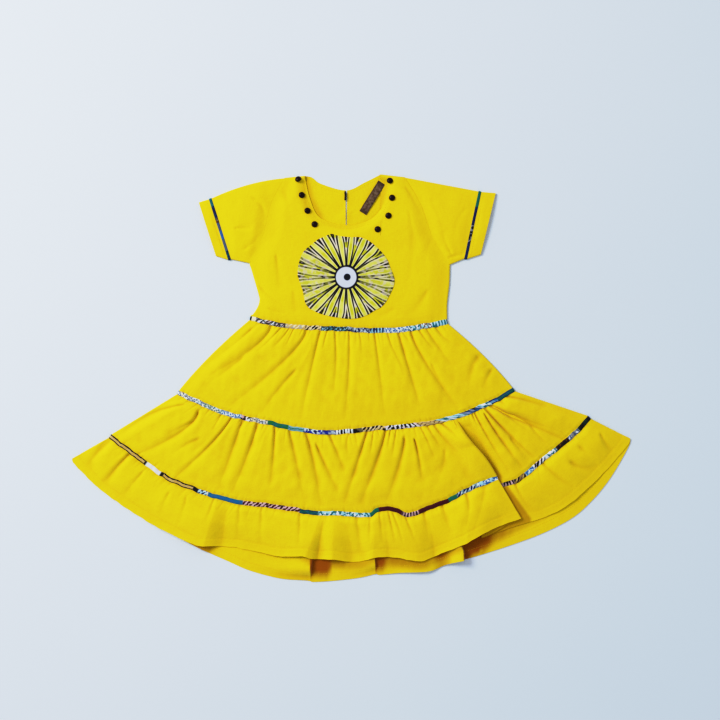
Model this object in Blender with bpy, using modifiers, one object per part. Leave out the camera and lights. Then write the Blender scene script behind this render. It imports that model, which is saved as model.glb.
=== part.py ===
"""Girl's tiered cotton dress with printed piping, laid flat on its back.

Each piece that a maker cuts and sews is one closed solid. +X runs to the right of the dress as it
is looked at, +Y from the hem to the neck, and +Z up from the surface that it lies on. The origin is
the middle of the outline, on that surface. The back panels lie flat on the surface. The front
panels lie on them, lifted by their own folds.
"""

import math
from typing import NamedTuple

import bmesh
import bpy
import numpy as np

MM = 0.001  # every size and table below is in millimetres

# Walls and gaps
CLOTH = 1.2
SEAM_GAP = 0.3
CURVE_GAP = 0.55  # across a curved seam, whose two edges are cut into different straight facets
BACK_MID = CLOTH / 2  # height of the middle of a back panel's wall
FRONT_MID = BACK_MID + CLOTH + SEAM_GAP  # the same for a front panel where it lies on the back

# Piping: printed strips folded over a cord and caught in the seams
PIPING_WIDTH = 6.0
PIPING_RISE = 0.7  # how far the middle of the strip stands over its edges
SLEEVE_PIPING_WIDTH = 4.0
SEAM_LIFT = 0.9  # a seam's thickness holds the front that far off the back

# The pleat: left of it the front lies over the rest, which comes out from underneath
PLEAT_LIP = 0.775  # stations run from 0 at the left side of the skirt to 1 at its right side
PLEAT_RETURN = 0.795
PLEAT_RADIUS = 1.25  # of each of its two bends
PLEAT_DEPTH = 13.0  # how far the hidden layer runs back under the lip
PLEAT_SLOPE = 0.05  # stations over which the cloth climbs to the lip
PLEAT_HIDDEN = 0.022  # stations of the lower layer that stay flat under the lip
PLEAT_CALM = 0.03  # stations over which folds start again on each side of it
PLEAT_PARTS = (1 / 12, 2 / 12, 3 / 12, 4 / 12, 8 / 12, 9 / 12, 10 / 12, 11 / 12, 1.0)  # its columns

# How a tier fills out: widths in millimetres, the rest in shares of its height
SIDE_RISE = 20.0  # from its side edges
SEAM_RISE = 0.16  # below its upper seam
FOOT_FALL = 0.3  # above its lower seam
WAVE_START = 0.35  # where a hem wave starts to stand up
PLEAT_OPENING = 0.08  # where the pleat begins in the middle tier
PLEAT_WHOLE = 0.56  # where both its bends have turned right round
PLEAT_FULL_RUN = 0.5  # where its hidden run starts to grow to its full depth

# Trims
DISC_CENTRE = (-7.0, 141.0)
DISC_HALF_WIDTH = 68.5
DISC_HALF_HEIGHT = 58.0
DISC_WALL = 1.0
LABEL_LENGTH = 50.0
LABEL_WIDTH = 11.0
LABEL_WALL = 1.0
LABEL_CENTRE = (28.0, 251.0)
LABEL_TURN = math.radians(58)
STUD_RADIUS = 5.0
STUD_HEIGHT = 3.0
STUD_RIM = 0.7  # height of its upright edge
SLIT_TOP = (-8.0, 272.0)
SLIT_FOOT = (-6.0, 194.0)
SLIT_TOP_WIDTH = 3.6
SLIT_FOOT_WIDTH = 1.6
LOOP_LENGTH = 13.0
LOOP_RADIUS = 1.1
LOOP_BOW = 0.6
LOOP_CENTRE = (-10.4, 255.5)


class Point(NamedTuple):
    """A point of an outline."""

    x: float
    y: float


class Fold(NamedTuple):
    """A trough that runs down a tier."""

    top: float  # station where its line meets the upper seam
    foot: float  # station where its line meets the lower seam or the hem
    start: float  # share of the tier's height where it begins
    end: float  # share where it has died away
    depth: float  # share of the cloth's lift that it takes away
    width: float  # half width


class Wave(NamedTuple):
    """A stretch of the hem that stands clear of the back."""

    station: float
    reach: float  # half width in stations
    lift: float


class Crease(NamedTuple):
    """A straight trough across the bodice."""

    x1: float
    y1: float
    x2: float
    y2: float
    depth: float
    width: float


WAIST_SEAM = [Point(-141, 84), Point(-94, 74), Point(-20, 69), Point(52, 67), Point(108, 74), Point(134, 79)]
MIDDLE_SEAM = [
    Point(-242, -20), Point(-180, -47), Point(-118, -62), Point(-44, -75), Point(38, -70),
    Point(99, -64), Point(151, -52), Point(199, -32), Point(227, -16),
]  # fmt: skip
LOW_SEAM_LEFT = [
    Point(-337, -81), Point(-287, -118), Point(-247, -144), Point(-175, -169), Point(-113, -178),
    Point(-52, -188), Point(18, -188), Point(91, -186), Point(134, -172),
    Point(177, -150), Point(203, -139),
]  # fmt: skip
LOW_SEAM_RIGHT = [
    Point(190, -150), Point(212, -149), Point(234, -141), Point(266, -115), Point(306, -83), Point(333, -55),
]  # fmt: skip
FRONT_HEM_LEFT = [
    Point(-393, -114), Point(-350, -156), Point(-284, -201), Point(-214, -238), Point(-140, -244),
    Point(-59, -253), Point(24, -252), Point(99, -254), Point(155, -235), Point(234, -196),
]  # fmt: skip
FRONT_HEM_RIGHT = [Point(222, -200), Point(273, -196), Point(333, -153), Point(378, -106), Point(393, -86)]
BACK_HEM = [
    Point(-392, -114), Point(-350, -155), Point(-284, -200), Point(-214, -238), Point(-140, -273),
    Point(-59, -285), Point(11, -279), Point(91, -269), Point(155, -257), Point(225, -233),
    Point(270, -216), Point(310, -195), Point(338, -170), Point(361, -142), Point(380, -111), Point(393, -86),
]  # fmt: skip
MIDDLE_SEAM_SAG = 62.0  # how far the back's seams hang below the line between their ends
LOW_SEAM_SAG = 132.0
TIER_1_SIDE_BOW = 5.0

LEFT_SIDE = [Point(-141, 84), Point(-132, 97), Point(-128, 108), Point(-130, 120), Point(-142, 161)]
RIGHT_SIDE = [Point(134, 79), Point(134, 104), Point(137, 132), Point(138, 159)]
LEFT_ARMHOLE = [Point(-142, 161), Point(-123, 201), Point(-112, 244), Point(-93, 280)]
RIGHT_ARMHOLE = [Point(75, 281), Point(98, 241), Point(113, 199), Point(138, 159)]
LEFT_SHOULDER = [Point(-93, 280), Point(-65, 283)]
RIGHT_SHOULDER = [Point(41, 285), Point(75, 281)]
FRONT_NECKLINE = [
    Point(-65, 283), Point(-58, 252), Point(-44, 225), Point(-9, 214), Point(28, 223),
    Point(44, 250), Point(41, 285),
]  # fmt: skip
BACK_NECKLINE = [Point(-65, 283), Point(-35, 268), Point(-7, 263), Point(19, 274), Point(41, 285)]
BODICE_CREASES = [
    Crease(116, 132, 84, 90, 0.7, 7.0),
    Crease(80, 222, 84, 112, 0.35, 6.0),
    Crease(-100, 172, -104, 122, 0.4, 6.0),
]
BODICE_LOFT = 2.4

LEFT_SLEEVE_PIPING = [Point(-170, 166), Point(-197, 251)]
LEFT_CUFF = [Point(-189, 171), Point(-213, 246)]
RIGHT_SLEEVE_PIPING = [Point(160, 167), Point(180, 261)]
RIGHT_CUFF = [Point(181, 173), Point(202, 259)]
SLEEVE_LOFT = 3.0

STUDS = [
    Point(-74, 278), Point(-69, 256), Point(-61, 234), Point(-51, 215),
    Point(54, 276), Point(57, 252), Point(52, 227), Point(37, 208),
]  # fmt: skip

TIER_1_FOLDS = [
    Fold(0.07, 0.008, 0.0, 0.45, 0.6, 7), Fold(0.125, 0.02, 0.0, 0.85, 0.9, 7),
    Fold(0.205, 0.10, 0.0, 0.40, 0.5, 5), Fold(0.242, 0.115, 0.0, 0.30, 0.6, 5),
    Fold(0.29, 0.13, 0.0, 1.00, 0.9, 7), Fold(0.345, 0.215, 0.3, 0.95, 0.7, 7),
    Fold(0.365, 0.34, 0.0, 0.85, 0.9, 6), Fold(0.395, 0.37, 0.0, 0.25, 0.6, 4),
    Fold(0.428, 0.425, 0.0, 0.65, 0.7, 6), Fold(0.507, 0.45, 0.0, 0.60, 0.7, 7),
    Fold(0.56, 0.51, 0.0, 0.30, 0.4, 5), Fold(0.62, 0.58, 0.0, 0.90, 0.7, 7),
    Fold(0.70, 0.65, 0.0, 0.30, 0.6, 5), Fold(0.742, 0.69, 0.0, 0.85, 0.9, 7),
    Fold(0.805, 0.785, 0.0, 0.95, 0.9, 7), Fold(0.878, 0.86, 0.0, 0.50, 0.5, 6),
    Fold(0.925, 0.985, 0.0, 0.45, 0.7, 6),
]  # fmt: skip
TIER_2_FOLDS = [
    Fold(0.04, 0.008, 0.0, 0.85, 0.7, 6), Fold(0.085, 0.055, 0.0, 0.95, 0.9, 7),
    Fold(0.14, 0.105, 0.0, 0.70, 0.5, 5), Fold(0.163, 0.143, 0.0, 0.95, 0.8, 6),
    Fold(0.197, 0.20, 0.0, 0.85, 0.8, 9), Fold(0.235, 0.255, 0.0, 0.90, 0.9, 9),
    Fold(0.282, 0.33, 0.0, 0.85, 0.9, 7), Fold(0.318, 0.40, 0.0, 0.90, 0.9, 7),
    Fold(0.362, 0.44, 0.0, 0.95, 0.9, 9), Fold(0.389, 0.458, 0.0, 0.75, 0.7, 6),
    Fold(0.43, 0.472, 0.0, 0.55, 0.7, 6), Fold(0.503, 0.484, 0.0, 0.80, 0.7, 6),
    Fold(0.525, 0.496, 0.0, 0.80, 0.9, 6), Fold(0.572, 0.51, 0.0, 0.95, 0.9, 7),
    Fold(0.592, 0.53, 0.0, 0.25, 0.6, 4), Fold(0.628, 0.552, 0.0, 0.90, 0.9, 7),
    Fold(0.65, 0.60, 0.0, 0.80, 0.9, 6), Fold(0.672, 0.65, 0.0, 0.45, 0.6, 5),
    Fold(0.695, 0.69, 0.0, 0.45, 0.6, 5), Fold(0.722, 0.745, 0.0, 0.80, 0.7, 6),
    Fold(0.825, 0.832, 0.0, 0.90, 0.7, 6), Fold(0.864, 0.868, 0.0, 0.80, 0.7, 6),
    Fold(0.908, 0.918, 0.0, 0.90, 0.9, 7), Fold(0.94, 0.948, 0.5, 0.95, 0.6, 8),
    Fold(0.968, 0.985, 0.0, 0.40, 0.5, 6),
]  # fmt: skip
TIER_3_FOLDS = [
    Fold(0.014, 0.016, 0.0, 0.95, 0.9, 7), Fold(0.054, 0.062, 0.0, 0.90, 0.7, 8),
    Fold(0.11, 0.12, 0.0, 0.35, 0.5, 6), Fold(0.165, 0.18, 0.0, 0.40, 0.5, 6),
    Fold(0.243, 0.268, 0.0, 1.00, 0.9, 14), Fold(0.33, 0.34, 0.0, 0.40, 0.5, 6),
    Fold(0.38, 0.385, 0.0, 0.40, 0.5, 6), Fold(0.434, 0.447, 0.0, 1.00, 0.9, 7),
    Fold(0.465, 0.472, 0.0, 0.95, 0.8, 7), Fold(0.506, 0.508, 0.0, 0.80, 0.5, 7),
    Fold(0.56, 0.57, 0.0, 0.55, 0.6, 5), Fold(0.578, 0.586, 0.0, 0.50, 0.6, 5),
    Fold(0.594, 0.604, 0.0, 0.50, 0.6, 5), Fold(0.609, 0.62, 0.0, 0.45, 0.5, 5),
    Fold(0.67, 0.67, 0.0, 0.40, 0.5, 6), Fold(0.732, 0.724, 0.0, 0.90, 0.8, 14),
    Fold(0.818, 0.808, 0.0, 0.90, 0.7, 8), Fold(0.865, 0.865, 0.0, 0.40, 0.5, 6),
    Fold(0.91, 0.93, 0.0, 0.85, 0.7, 8), Fold(0.965, 0.97, 0.0, 0.50, 0.5, 6),
]  # fmt: skip
HEM_WAVES = [
    Wave(0.10, 0.040, 2.5), Wave(0.20, 0.030, 3.0), Wave(0.34, 0.040, 2.5), Wave(0.415, 0.022, 5.0),
    Wave(0.53, 0.025, 4.0), Wave(0.63, 0.030, 3.0), Wave(0.692, 0.022, 5.0), Wave(0.87, 0.035, 3.0),
]  # fmt: skip
TIER_ROWS = (0.0, 0.08, 0.25, 0.42, 0.64, 0.86, 1.0)
COLUMN_PITCH = 12.0  # widest spacing of a front tier's columns, near enough


def bell(distance):
    """1 at a trough's line, falling smoothly to 0 on both sides."""
    return np.exp(-np.square(distance))


def ease(value):
    """0 up to 0, 1 from 1 on, and a smooth climb between them."""
    value = np.clip(value, 0.0, 1.0)
    return value * value * (3.0 - 2.0 * value)


def unit(vectors):
    return vectors / np.linalg.norm(vectors, axis=-1, keepdims=True)


class SmoothLine:
    """A smooth line through a short table of points, read by the share of its length."""

    def __init__(self, points, steps=12):
        rows = np.array(points, float)
        knots = np.vstack([2 * rows[0] - rows[1], rows, 2 * rows[-1] - rows[-2]])
        a, b, c, d = (knots[i : i + len(rows) - 1, None] for i in range(4))
        u = np.linspace(0, 1, steps, endpoint=False)[None, :, None]
        spans = 2 * b + (c - a) * u + (2 * a - 5 * b + 4 * c - d) * u**2 + (3 * b - a - 3 * c + d) * u**3
        self.points = np.vstack([0.5 * spans.reshape(-1, 2), rows[-1:]])
        runs = np.linalg.norm(np.diff(self.points, axis=0), axis=1)
        self.length = runs.sum()
        self.share = np.concatenate([[0.0], np.cumsum(runs)]) / self.length

    def at(self, share):
        return np.stack([np.interp(share, self.share, self.points[:, k]) for k in (0, 1)], axis=-1)

    def right_hand(self, share, reach=0.03):
        """Unit vector square to the line, on the right of someone who walks along it."""
        share = np.clip(share, 0.0, 1.0)
        run = unit(self.at(share + reach) - self.at(share - reach))
        return np.stack([run[..., 1], -run[..., 0]], axis=-1)


class Seam:
    """A seam or hem across the skirt, by station. The pleat may part it into two lines."""

    def __init__(self, left, right=None):
        self.left = SmoothLine(left)
        self.right = SmoothLine(right) if right else None

    def edge(self, station, offset):
        """The points of the seam moved down the skirt by the offset."""
        station = np.asarray(station, float)
        if self.right is None:
            return self.left.at(station) + offset * self.left.right_hand(station)
        over, under = station / PLEAT_LIP, (station - PLEAT_RETURN) / (1 - PLEAT_RETURN)
        left = self.left.at(over) + offset * self.left.right_hand(over)
        right = self.right.at(under) + offset * self.right.right_hand(under, reach=0.1)
        return np.where(station[..., None] < (PLEAT_LIP + PLEAT_RETURN) / 2, left, right)

    @property
    def length(self):
        return self.left.length + (self.right.length if self.right else 0.0)


def sagging(seam, sag):
    """The back's seam: it has the front seam's ends and hangs in one plain bow between them."""
    (x1, y1), (x2, y2) = seam[0], seam[-1]
    shares = np.linspace(0, 1, 9)
    return [Point(x1 + (x2 - x1) * u, y1 + (y2 - y1) * u - 4 * sag * u * (1 - u)) for u in shares]


FRONT_SEAMS = [Seam(WAIST_SEAM), Seam(MIDDLE_SEAM), Seam(LOW_SEAM_LEFT, LOW_SEAM_RIGHT)]
FRONT_SEAMS.append(Seam(FRONT_HEM_LEFT, FRONT_HEM_RIGHT))
BACK_SEAMS = [
    Seam(WAIST_SEAM),
    Seam(sagging(MIDDLE_SEAM, MIDDLE_SEAM_SAG)),
    Seam(sagging([LOW_SEAM_LEFT[0], LOW_SEAM_RIGHT[-1]], LOW_SEAM_SAG)),
    Seam(BACK_HEM),
]


class Tier:
    """One of the skirt's three gathered tiers. Shares run from 0 at its upper seam to 1 at its foot."""

    def __init__(self, number, folds, loft, waves=(), bow=0.0):
        self.number = number
        self.folds = folds
        self.loft = loft
        self.waves = waves
        self.bow = bow
        self.has_hem = number == 3

    def outline(self, seams, station, share):
        """Flat place of a point: on the straight run between the two seams, bowed out at the sides."""
        half = PIPING_WIDTH / 2 + CURVE_GAP
        upper = seams[self.number - 1].edge(station, half)
        lower = seams[self.number].edge(station, 0.0 if self.has_hem else -half)
        share = np.asarray(share, float)[..., None]
        bowed = self.bow * 4 * share * (1 - share)
        side = np.asarray(station, float)[..., None]
        outward = bowed * (side**6 - (1 - side) ** 6)
        return upper * (1 - share) + lower * share + outward * np.array([1.0, 0.0])

    def pleat_turn(self, share):
        """How far each bend of the pleat turns: it opens below the middle seam and is whole from there on."""
        if self.number < 2:
            return np.zeros_like(share)
        if self.number == 3:
            return np.full_like(share, math.pi)
        return math.pi * np.clip((share - PLEAT_OPENING) / (PLEAT_WHOLE - PLEAT_OPENING), 0, 1)

    def pleat_run(self, share):
        """Length of the pleat's hidden run."""
        if self.number == 3:
            return np.full_like(share, PLEAT_DEPTH)
        return 1.0 + (PLEAT_DEPTH - 1.0) * np.clip((share - PLEAT_FULL_RUN) / (1 - PLEAT_FULL_RUN), 0, 1)

    def lift(self, station, share):
        """Height of the front over the back that it lies on."""
        width = FRONT_SEAMS[self.number - 1].length * (1 - share) + FRONT_SEAMS[self.number].length * share
        side = ease(np.minimum(station, 1 - station) * width / SIDE_RISE)
        body = ease(share / SEAM_RISE) * (1.0 if self.has_hem else ease((1 - share) / FOOT_FALL))
        pleat = 1.0
        if self.number > 1:
            left = ease((PLEAT_LIP - station) / PLEAT_CALM)
            right = ease((station - PLEAT_RETURN - PLEAT_HIDDEN) / PLEAT_CALM)
            opened = np.clip(self.pleat_turn(share), 0, 1)
            pleat = 1 - opened * (1 - np.where(station < PLEAT_RETURN, left, right))
        bulge = self.loft * body * side * pleat
        for fold in self.folds:
            centre = fold.top + (fold.foot - fold.top) * share
            held = ease((share - fold.start + 0.05) / 0.08) * ease((fold.end - share) / 0.25)
            bulge = bulge * (1 - fold.depth * held * bell((station - centre) * width / fold.width))
        for wave in self.waves:
            reach = bell((station - wave.station) / wave.reach)
            bulge = bulge + wave.lift * reach * ease((share - WAVE_START) / (1 - WAVE_START))
        lip = self.pleat_drop(1.0, share) * ease((station - PLEAT_LIP + PLEAT_SLOPE) / PLEAT_SLOPE)
        return SEAM_LIFT * side * pleat + bulge + np.where(station <= PLEAT_LIP + 1e-9, lip, 0.0)

    def pleat_path(self, part, share):
        """Advance and drop at a part, 0 to 1, of the pleat: a bend, a run back and a bend the other way."""
        first, middle, last = (np.clip(3 * part - k, 0, 1) for k in range(3))
        turn = np.maximum(self.pleat_turn(share), 1e-3)
        run = self.pleat_run(share)
        radius = math.pi * PLEAT_RADIUS / turn
        back = (1 - last) * turn
        advance = radius * (np.sin(first * turn) + np.sin(turn) - np.sin(back)) + middle * run * np.cos(turn)
        drop = radius * (1 - np.cos(first * turn) + np.cos(back) - np.cos(turn)) + middle * run * np.sin(turn)
        return advance, drop

    def pleat_drop(self, part, share):
        return self.pleat_path(part, share)[1] if self.number > 1 else np.zeros_like(share)

    def front(self, station, share):
        """Points of the front's middle surface, with the pleat's S section between its two stations."""
        station, share = np.broadcast_arrays(np.asarray(station, float), np.asarray(share, float))
        flat = self.outline(FRONT_SEAMS, station, share)
        height = FRONT_MID + self.lift(station, share)
        if self.number > 1:
            lip = self.outline(FRONT_SEAMS, np.full_like(station, PLEAT_LIP), share)
            before = self.outline(FRONT_SEAMS, np.full_like(station, PLEAT_LIP - 0.02), share)
            under = self.outline(FRONT_SEAMS, np.full_like(station, PLEAT_RETURN), share)
            part = (station - PLEAT_LIP) / (PLEAT_RETURN - PLEAT_LIP)
            advance, drop = self.pleat_path(part, share)
            whole, fall = self.pleat_path(1.0, share)
            along = unit(lip - before)
            crossed = ease(3 * part - 1)[..., None]
            bent = lip + along * advance[..., None] + crossed * (under - lip - along * whole[..., None])
            inside = (part > 0) & (part < 1)
            flat = np.where(inside[..., None], bent, flat)
            height = np.where(inside, FRONT_MID + fall - drop, height)
        return np.concatenate([flat, height[..., None]], axis=-1)

    def back(self, station, share):
        """Points of the back's middle surface, which lies flat."""
        station, share = np.broadcast_arrays(np.asarray(station, float), np.asarray(share, float))
        flat = self.outline(BACK_SEAMS, station, share)
        return np.concatenate([flat, np.full(share.shape + (1,), BACK_MID)], axis=-1)

    def columns(self):
        """Stations of the columns at the upper seam and at the foot: they follow the folds."""
        lines = [(0.0, 0.0)] + [(fold.top, fold.foot) for fold in self.folds] + [(1.0, 1.0)]
        if self.number > 1:
            lines += [(PLEAT_LIP, PLEAT_LIP), (PLEAT_RETURN, PLEAT_RETURN)]
        lines = np.array(sorted(lines))
        foot_length = FRONT_SEAMS[self.number].length
        found = [lines[:1]]
        for start, end in zip(lines[:-1], lines[1:]):
            if self.number > 1 and start[0] == PLEAT_LIP:
                parts = np.array(PLEAT_PARTS)
            else:
                gap = (end[1] - start[1] + end[0] - start[0]) / 2 * foot_length
                parts = np.linspace(0, 1, 1 + int(np.clip(round(gap / COLUMN_PITCH), 1, 9)))[1:]
            found.append(start + parts[:, None] * (end - start))
        return np.vstack(found).T


TIERS = [
    Tier(1, TIER_1_FOLDS, loft=2.8, bow=TIER_1_SIDE_BOW),
    Tier(2, TIER_2_FOLDS, loft=3.6),
    Tier(3, TIER_3_FOLDS, loft=3.0, waves=HEM_WAVES),
]


def new_collection(name):
    found = bpy.data.collections.new(name)
    bpy.context.scene.collection.children.link(found)
    return found


def new_material(name, colour, roughness):
    found = bpy.data.materials.new(name)
    found.use_nodes = True
    shader = found.node_tree.nodes["Principled BSDF"]
    shader.inputs["Base Color"].default_value = (*colour, 1.0)
    shader.inputs["Roughness"].default_value = roughness
    found.diffuse_color = (*colour, 1.0)
    return found


def add_object(name, mesh, material, collection):
    found = bpy.data.objects.new(name, mesh)
    found.data.materials.append(material)
    collection.objects.link(found)
    return found


def add_panel(name, points, material, collection, wall=CLOTH):
    """A grid laid through the points of a middle surface, columns by rows, and given its wall."""
    columns, rows = points.shape[:2]
    cells = bmesh.new()
    bmesh.ops.create_grid(cells, x_segments=columns - 1, y_segments=rows - 1, size=1.0)
    for vertex in cells.verts:
        column = round((vertex.co.x + 1) / 2 * (columns - 1))
        row = round((vertex.co.y + 1) / 2 * (rows - 1))
        vertex.co = points[column, row] * MM
    bmesh.ops.remove_doubles(cells, verts=cells.verts, dist=0.01 * MM)
    mesh = bpy.data.meshes.new(name)
    cells.to_mesh(mesh)
    cells.free()
    mesh.shade_smooth()
    found = add_object(name, mesh, material, collection)
    shell = found.modifiers.new("wall", "SOLIDIFY")
    shell.thickness = wall * MM
    shell.offset = 0.0
    return found


def add_tier(tier, material, collection):
    rows = np.array(TIER_ROWS)
    upper, foot = tier.columns()
    stations = upper[:, None] * (1 - rows) + foot[:, None] * rows
    front = tier.front(stations, rows[None, :])
    add_panel(f"tier_{tier.number}_front", front, material, collection)
    stations = np.linspace(0, 1, 25)[:, None]
    back = tier.back(stations, np.array([0.0, 0.5, 1.0])[None, :])
    add_panel(f"tier_{tier.number}_back", back, material, collection)


def piping_strip(above, below, rise):
    """Middle surface of a strip between two seam edges, its middle line higher than its own edges."""
    gap = CURVE_GAP / (PIPING_WIDTH + 2 * CURVE_GAP)
    across = np.array([gap, 0.5, 1 - gap])[None, :, None]
    strip = above[:, None] * (1 - across) + below[:, None] * across
    strip[:, 1, 2] += rise
    return strip


def add_pipings(bodice, material, collection):
    """The printed strips between the bodice and the tiers, each in a front and a back length."""
    zero, one = np.array([0.0]), np.array([1.0])
    for number, name in enumerate(("waist", "middle", "low")):
        stations = np.linspace(0, 1, 45)
        rise = PIPING_RISE
        if name == "low":
            fold = PLEAT_LIP + np.array((0.0,) + PLEAT_PARTS) * (PLEAT_RETURN - PLEAT_LIP)
            left, right = np.linspace(0, PLEAT_LIP, 53)[:-1], np.linspace(PLEAT_RETURN, 1, 17)[1:]
            stations = np.concatenate([left, fold, right])
            left, right = PLEAT_LIP - stations, stations - PLEAT_RETURN - PLEAT_HIDDEN
            rise = PIPING_RISE * ease(np.maximum(left, right) / PLEAT_CALM)
        columns = stations[:, None]
        below = TIERS[number].front(columns, zero)[:, 0]
        if name == "waist":
            above = bodice.foot(stations, front=True)
        else:
            above = TIERS[number - 1].front(columns, one)[:, 0]
        add_panel(f"{name}_piping_front", piping_strip(above, below, rise), material, collection)
        stations = np.linspace(0, 1, 25)
        below = TIERS[number].back(stations[:, None], zero)[:, 0]
        if name == "waist":
            above = bodice.foot(stations, front=False)
        else:
            above = TIERS[number - 1].back(stations[:, None], one)[:, 0]
        strip = piping_strip(above, below, 0.0)
        add_panel(f"{name}_piping_back", strip[:, ::2], material, collection)


class Bodice:
    """The upper part: columns run up from the waist to the armholes, shoulders and neckline."""

    segments = (9, 2, 14, 2, 9)  # columns in an armhole, a shoulder, the neckline and so on
    ends = (0.0, 0.175, 0.28, 0.66, 0.775, 1.0)  # stations at the ends of those segments
    half_widths = ((84, 133), (160, 138), (201, 118), (244, 107), (282, 84))  # height, half width
    middle = -3.0  # of those widths
    side_rise = 26.0  # width over which the front climbs from its sides
    waist_rise = 14.0  # and from the waist piping
    top_fall = (276.0, 287.0)  # heights between which it comes down to the shoulders
    front_rows = (0.0, 0.09, 0.18, 0.3, 0.45, 0.65, 0.85, 0.94, 1.0)
    back_rows = (0.0, 0.18, 0.3, 0.6, 1.0)

    def __init__(self):
        self.left_side = SmoothLine(LEFT_SIDE)
        self.right_side = SmoothLine(RIGHT_SIDE)

    def top(self, neckline):
        """Stations and places of the columns' upper ends."""
        lines = (LEFT_ARMHOLE, LEFT_SHOULDER, neckline, RIGHT_SHOULDER, RIGHT_ARMHOLE)
        stations, places = [np.zeros(1)], [np.array([LEFT_ARMHOLE[0]], float)]
        for line, count, start, end in zip(lines, self.segments, self.ends[:-1], self.ends[1:]):
            shares = np.linspace(0, 1, count + 1)[1:]
            stations.append(start + shares * (end - start))
            places.append(SmoothLine(line).at(shares))
        return np.concatenate(stations), np.vstack(places)

    def lift(self, x, y):
        """Height of the front over the back, with its creases."""
        heights, widths = np.array(self.half_widths, float).T
        side = ease((np.interp(y, heights, widths) - np.abs(x - self.middle)) / self.side_rise)
        over_waist = y - np.interp(x, *FRONT_SEAMS[0].left.points.T) - PIPING_WIDTH / 2
        low, high = self.top_fall
        body = ease(over_waist / self.waist_rise) * ease((high - y) / (high - low))
        bulge = (BODICE_LOFT - SEAM_LIFT) * side * body
        for crease in BODICE_CREASES:
            run = np.array([crease.x2 - crease.x1, crease.y2 - crease.y1])
            along = ((x - crease.x1) * run[0] + (y - crease.y1) * run[1]) / run.dot(run)
            along = np.clip(along, 0, 1)
            away = np.hypot(x - crease.x1 - along * run[0], y - crease.y1 - along * run[1])
            bulge = bulge * (1 - crease.depth * bell(away / crease.width))
        return SEAM_LIFT * side + bulge

    def foot(self, stations, front):
        """The panel's lower edge, over the waist piping."""
        flat = FRONT_SEAMS[0].edge(stations, -PIPING_WIDTH / 2 - CURVE_GAP)
        height = self.height(flat, front)
        return np.concatenate([flat, height[..., None]], axis=-1)

    def height(self, flat, front):
        """Height of the middle surface over flat places."""
        if front:
            return FRONT_MID + self.lift(flat[..., 0], flat[..., 1])
        return np.full(flat.shape[:-1], BACK_MID)

    def panel(self, neckline, rows, front):
        """Points of the middle surface, on straight runs from the waist to the upper edge."""
        stations, top = self.top(neckline)
        foot = self.foot(stations, front)[:, :2]
        share = np.asarray(rows)[None, :, None]
        flat = foot[:, None] * (1 - share) + top[:, None] * share
        left = self.left_side.at(share[..., 0]) - (foot[0] * (1 - share) + top[0] * share)
        right = self.right_side.at(share[..., 0]) - (foot[-1] * (1 - share) + top[-1] * share)
        near = stations[:, None, None]
        hold = ease(share / 0.08) * ease((1 - share) / 0.08)
        flat = flat + hold * (left * (1 - near) ** 6 + right * near**6)
        return np.concatenate([flat, self.height(flat, front)[..., None]], axis=-1)

    def on_front(self, x, y, above):
        """Points over the front panel's outer face, moved out."""
        height = FRONT_MID + self.lift(x, y) + CLOTH / 2 + above
        return np.stack([x, y, height], axis=-1)


def add_bodice(bodice, cotton, collection, helpers):
    """The bodice's front and back; a slit is cut down the back from the neck."""
    points = bodice.panel(FRONT_NECKLINE, bodice.front_rows, front=True)
    add_panel("bodice_front", points, cotton, collection)
    points = bodice.panel(BACK_NECKLINE, bodice.back_rows, front=False)
    back = add_panel("bodice_back", points, cotton, collection)
    cutter = bmesh.new()
    bmesh.ops.create_cube(cutter, size=1.0)
    for vertex in cutter.verts:
        at_top = vertex.co.y > 0
        place = SLIT_TOP if at_top else SLIT_FOOT
        width = SLIT_TOP_WIDTH if at_top else SLIT_FOOT_WIDTH
        vertex.co.x = (place[0] + math.copysign(width / 2, vertex.co.x)) * MM
        vertex.co.y = place[1] * MM
        vertex.co.z = math.copysign(4 * CLOTH, vertex.co.z) * MM
    mesh = bpy.data.meshes.new("slit_cutter")
    cutter.to_mesh(mesh)
    cutter.free()
    slit = bpy.data.objects.new("slit_cutter", mesh)
    slit.hide_render = True
    slit.display_type = "WIRE"
    helpers.objects.link(slit)
    cut = back.modifiers.new("slit", "BOOLEAN")
    cut.operation = "DIFFERENCE"
    cut.object = slit


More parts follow.
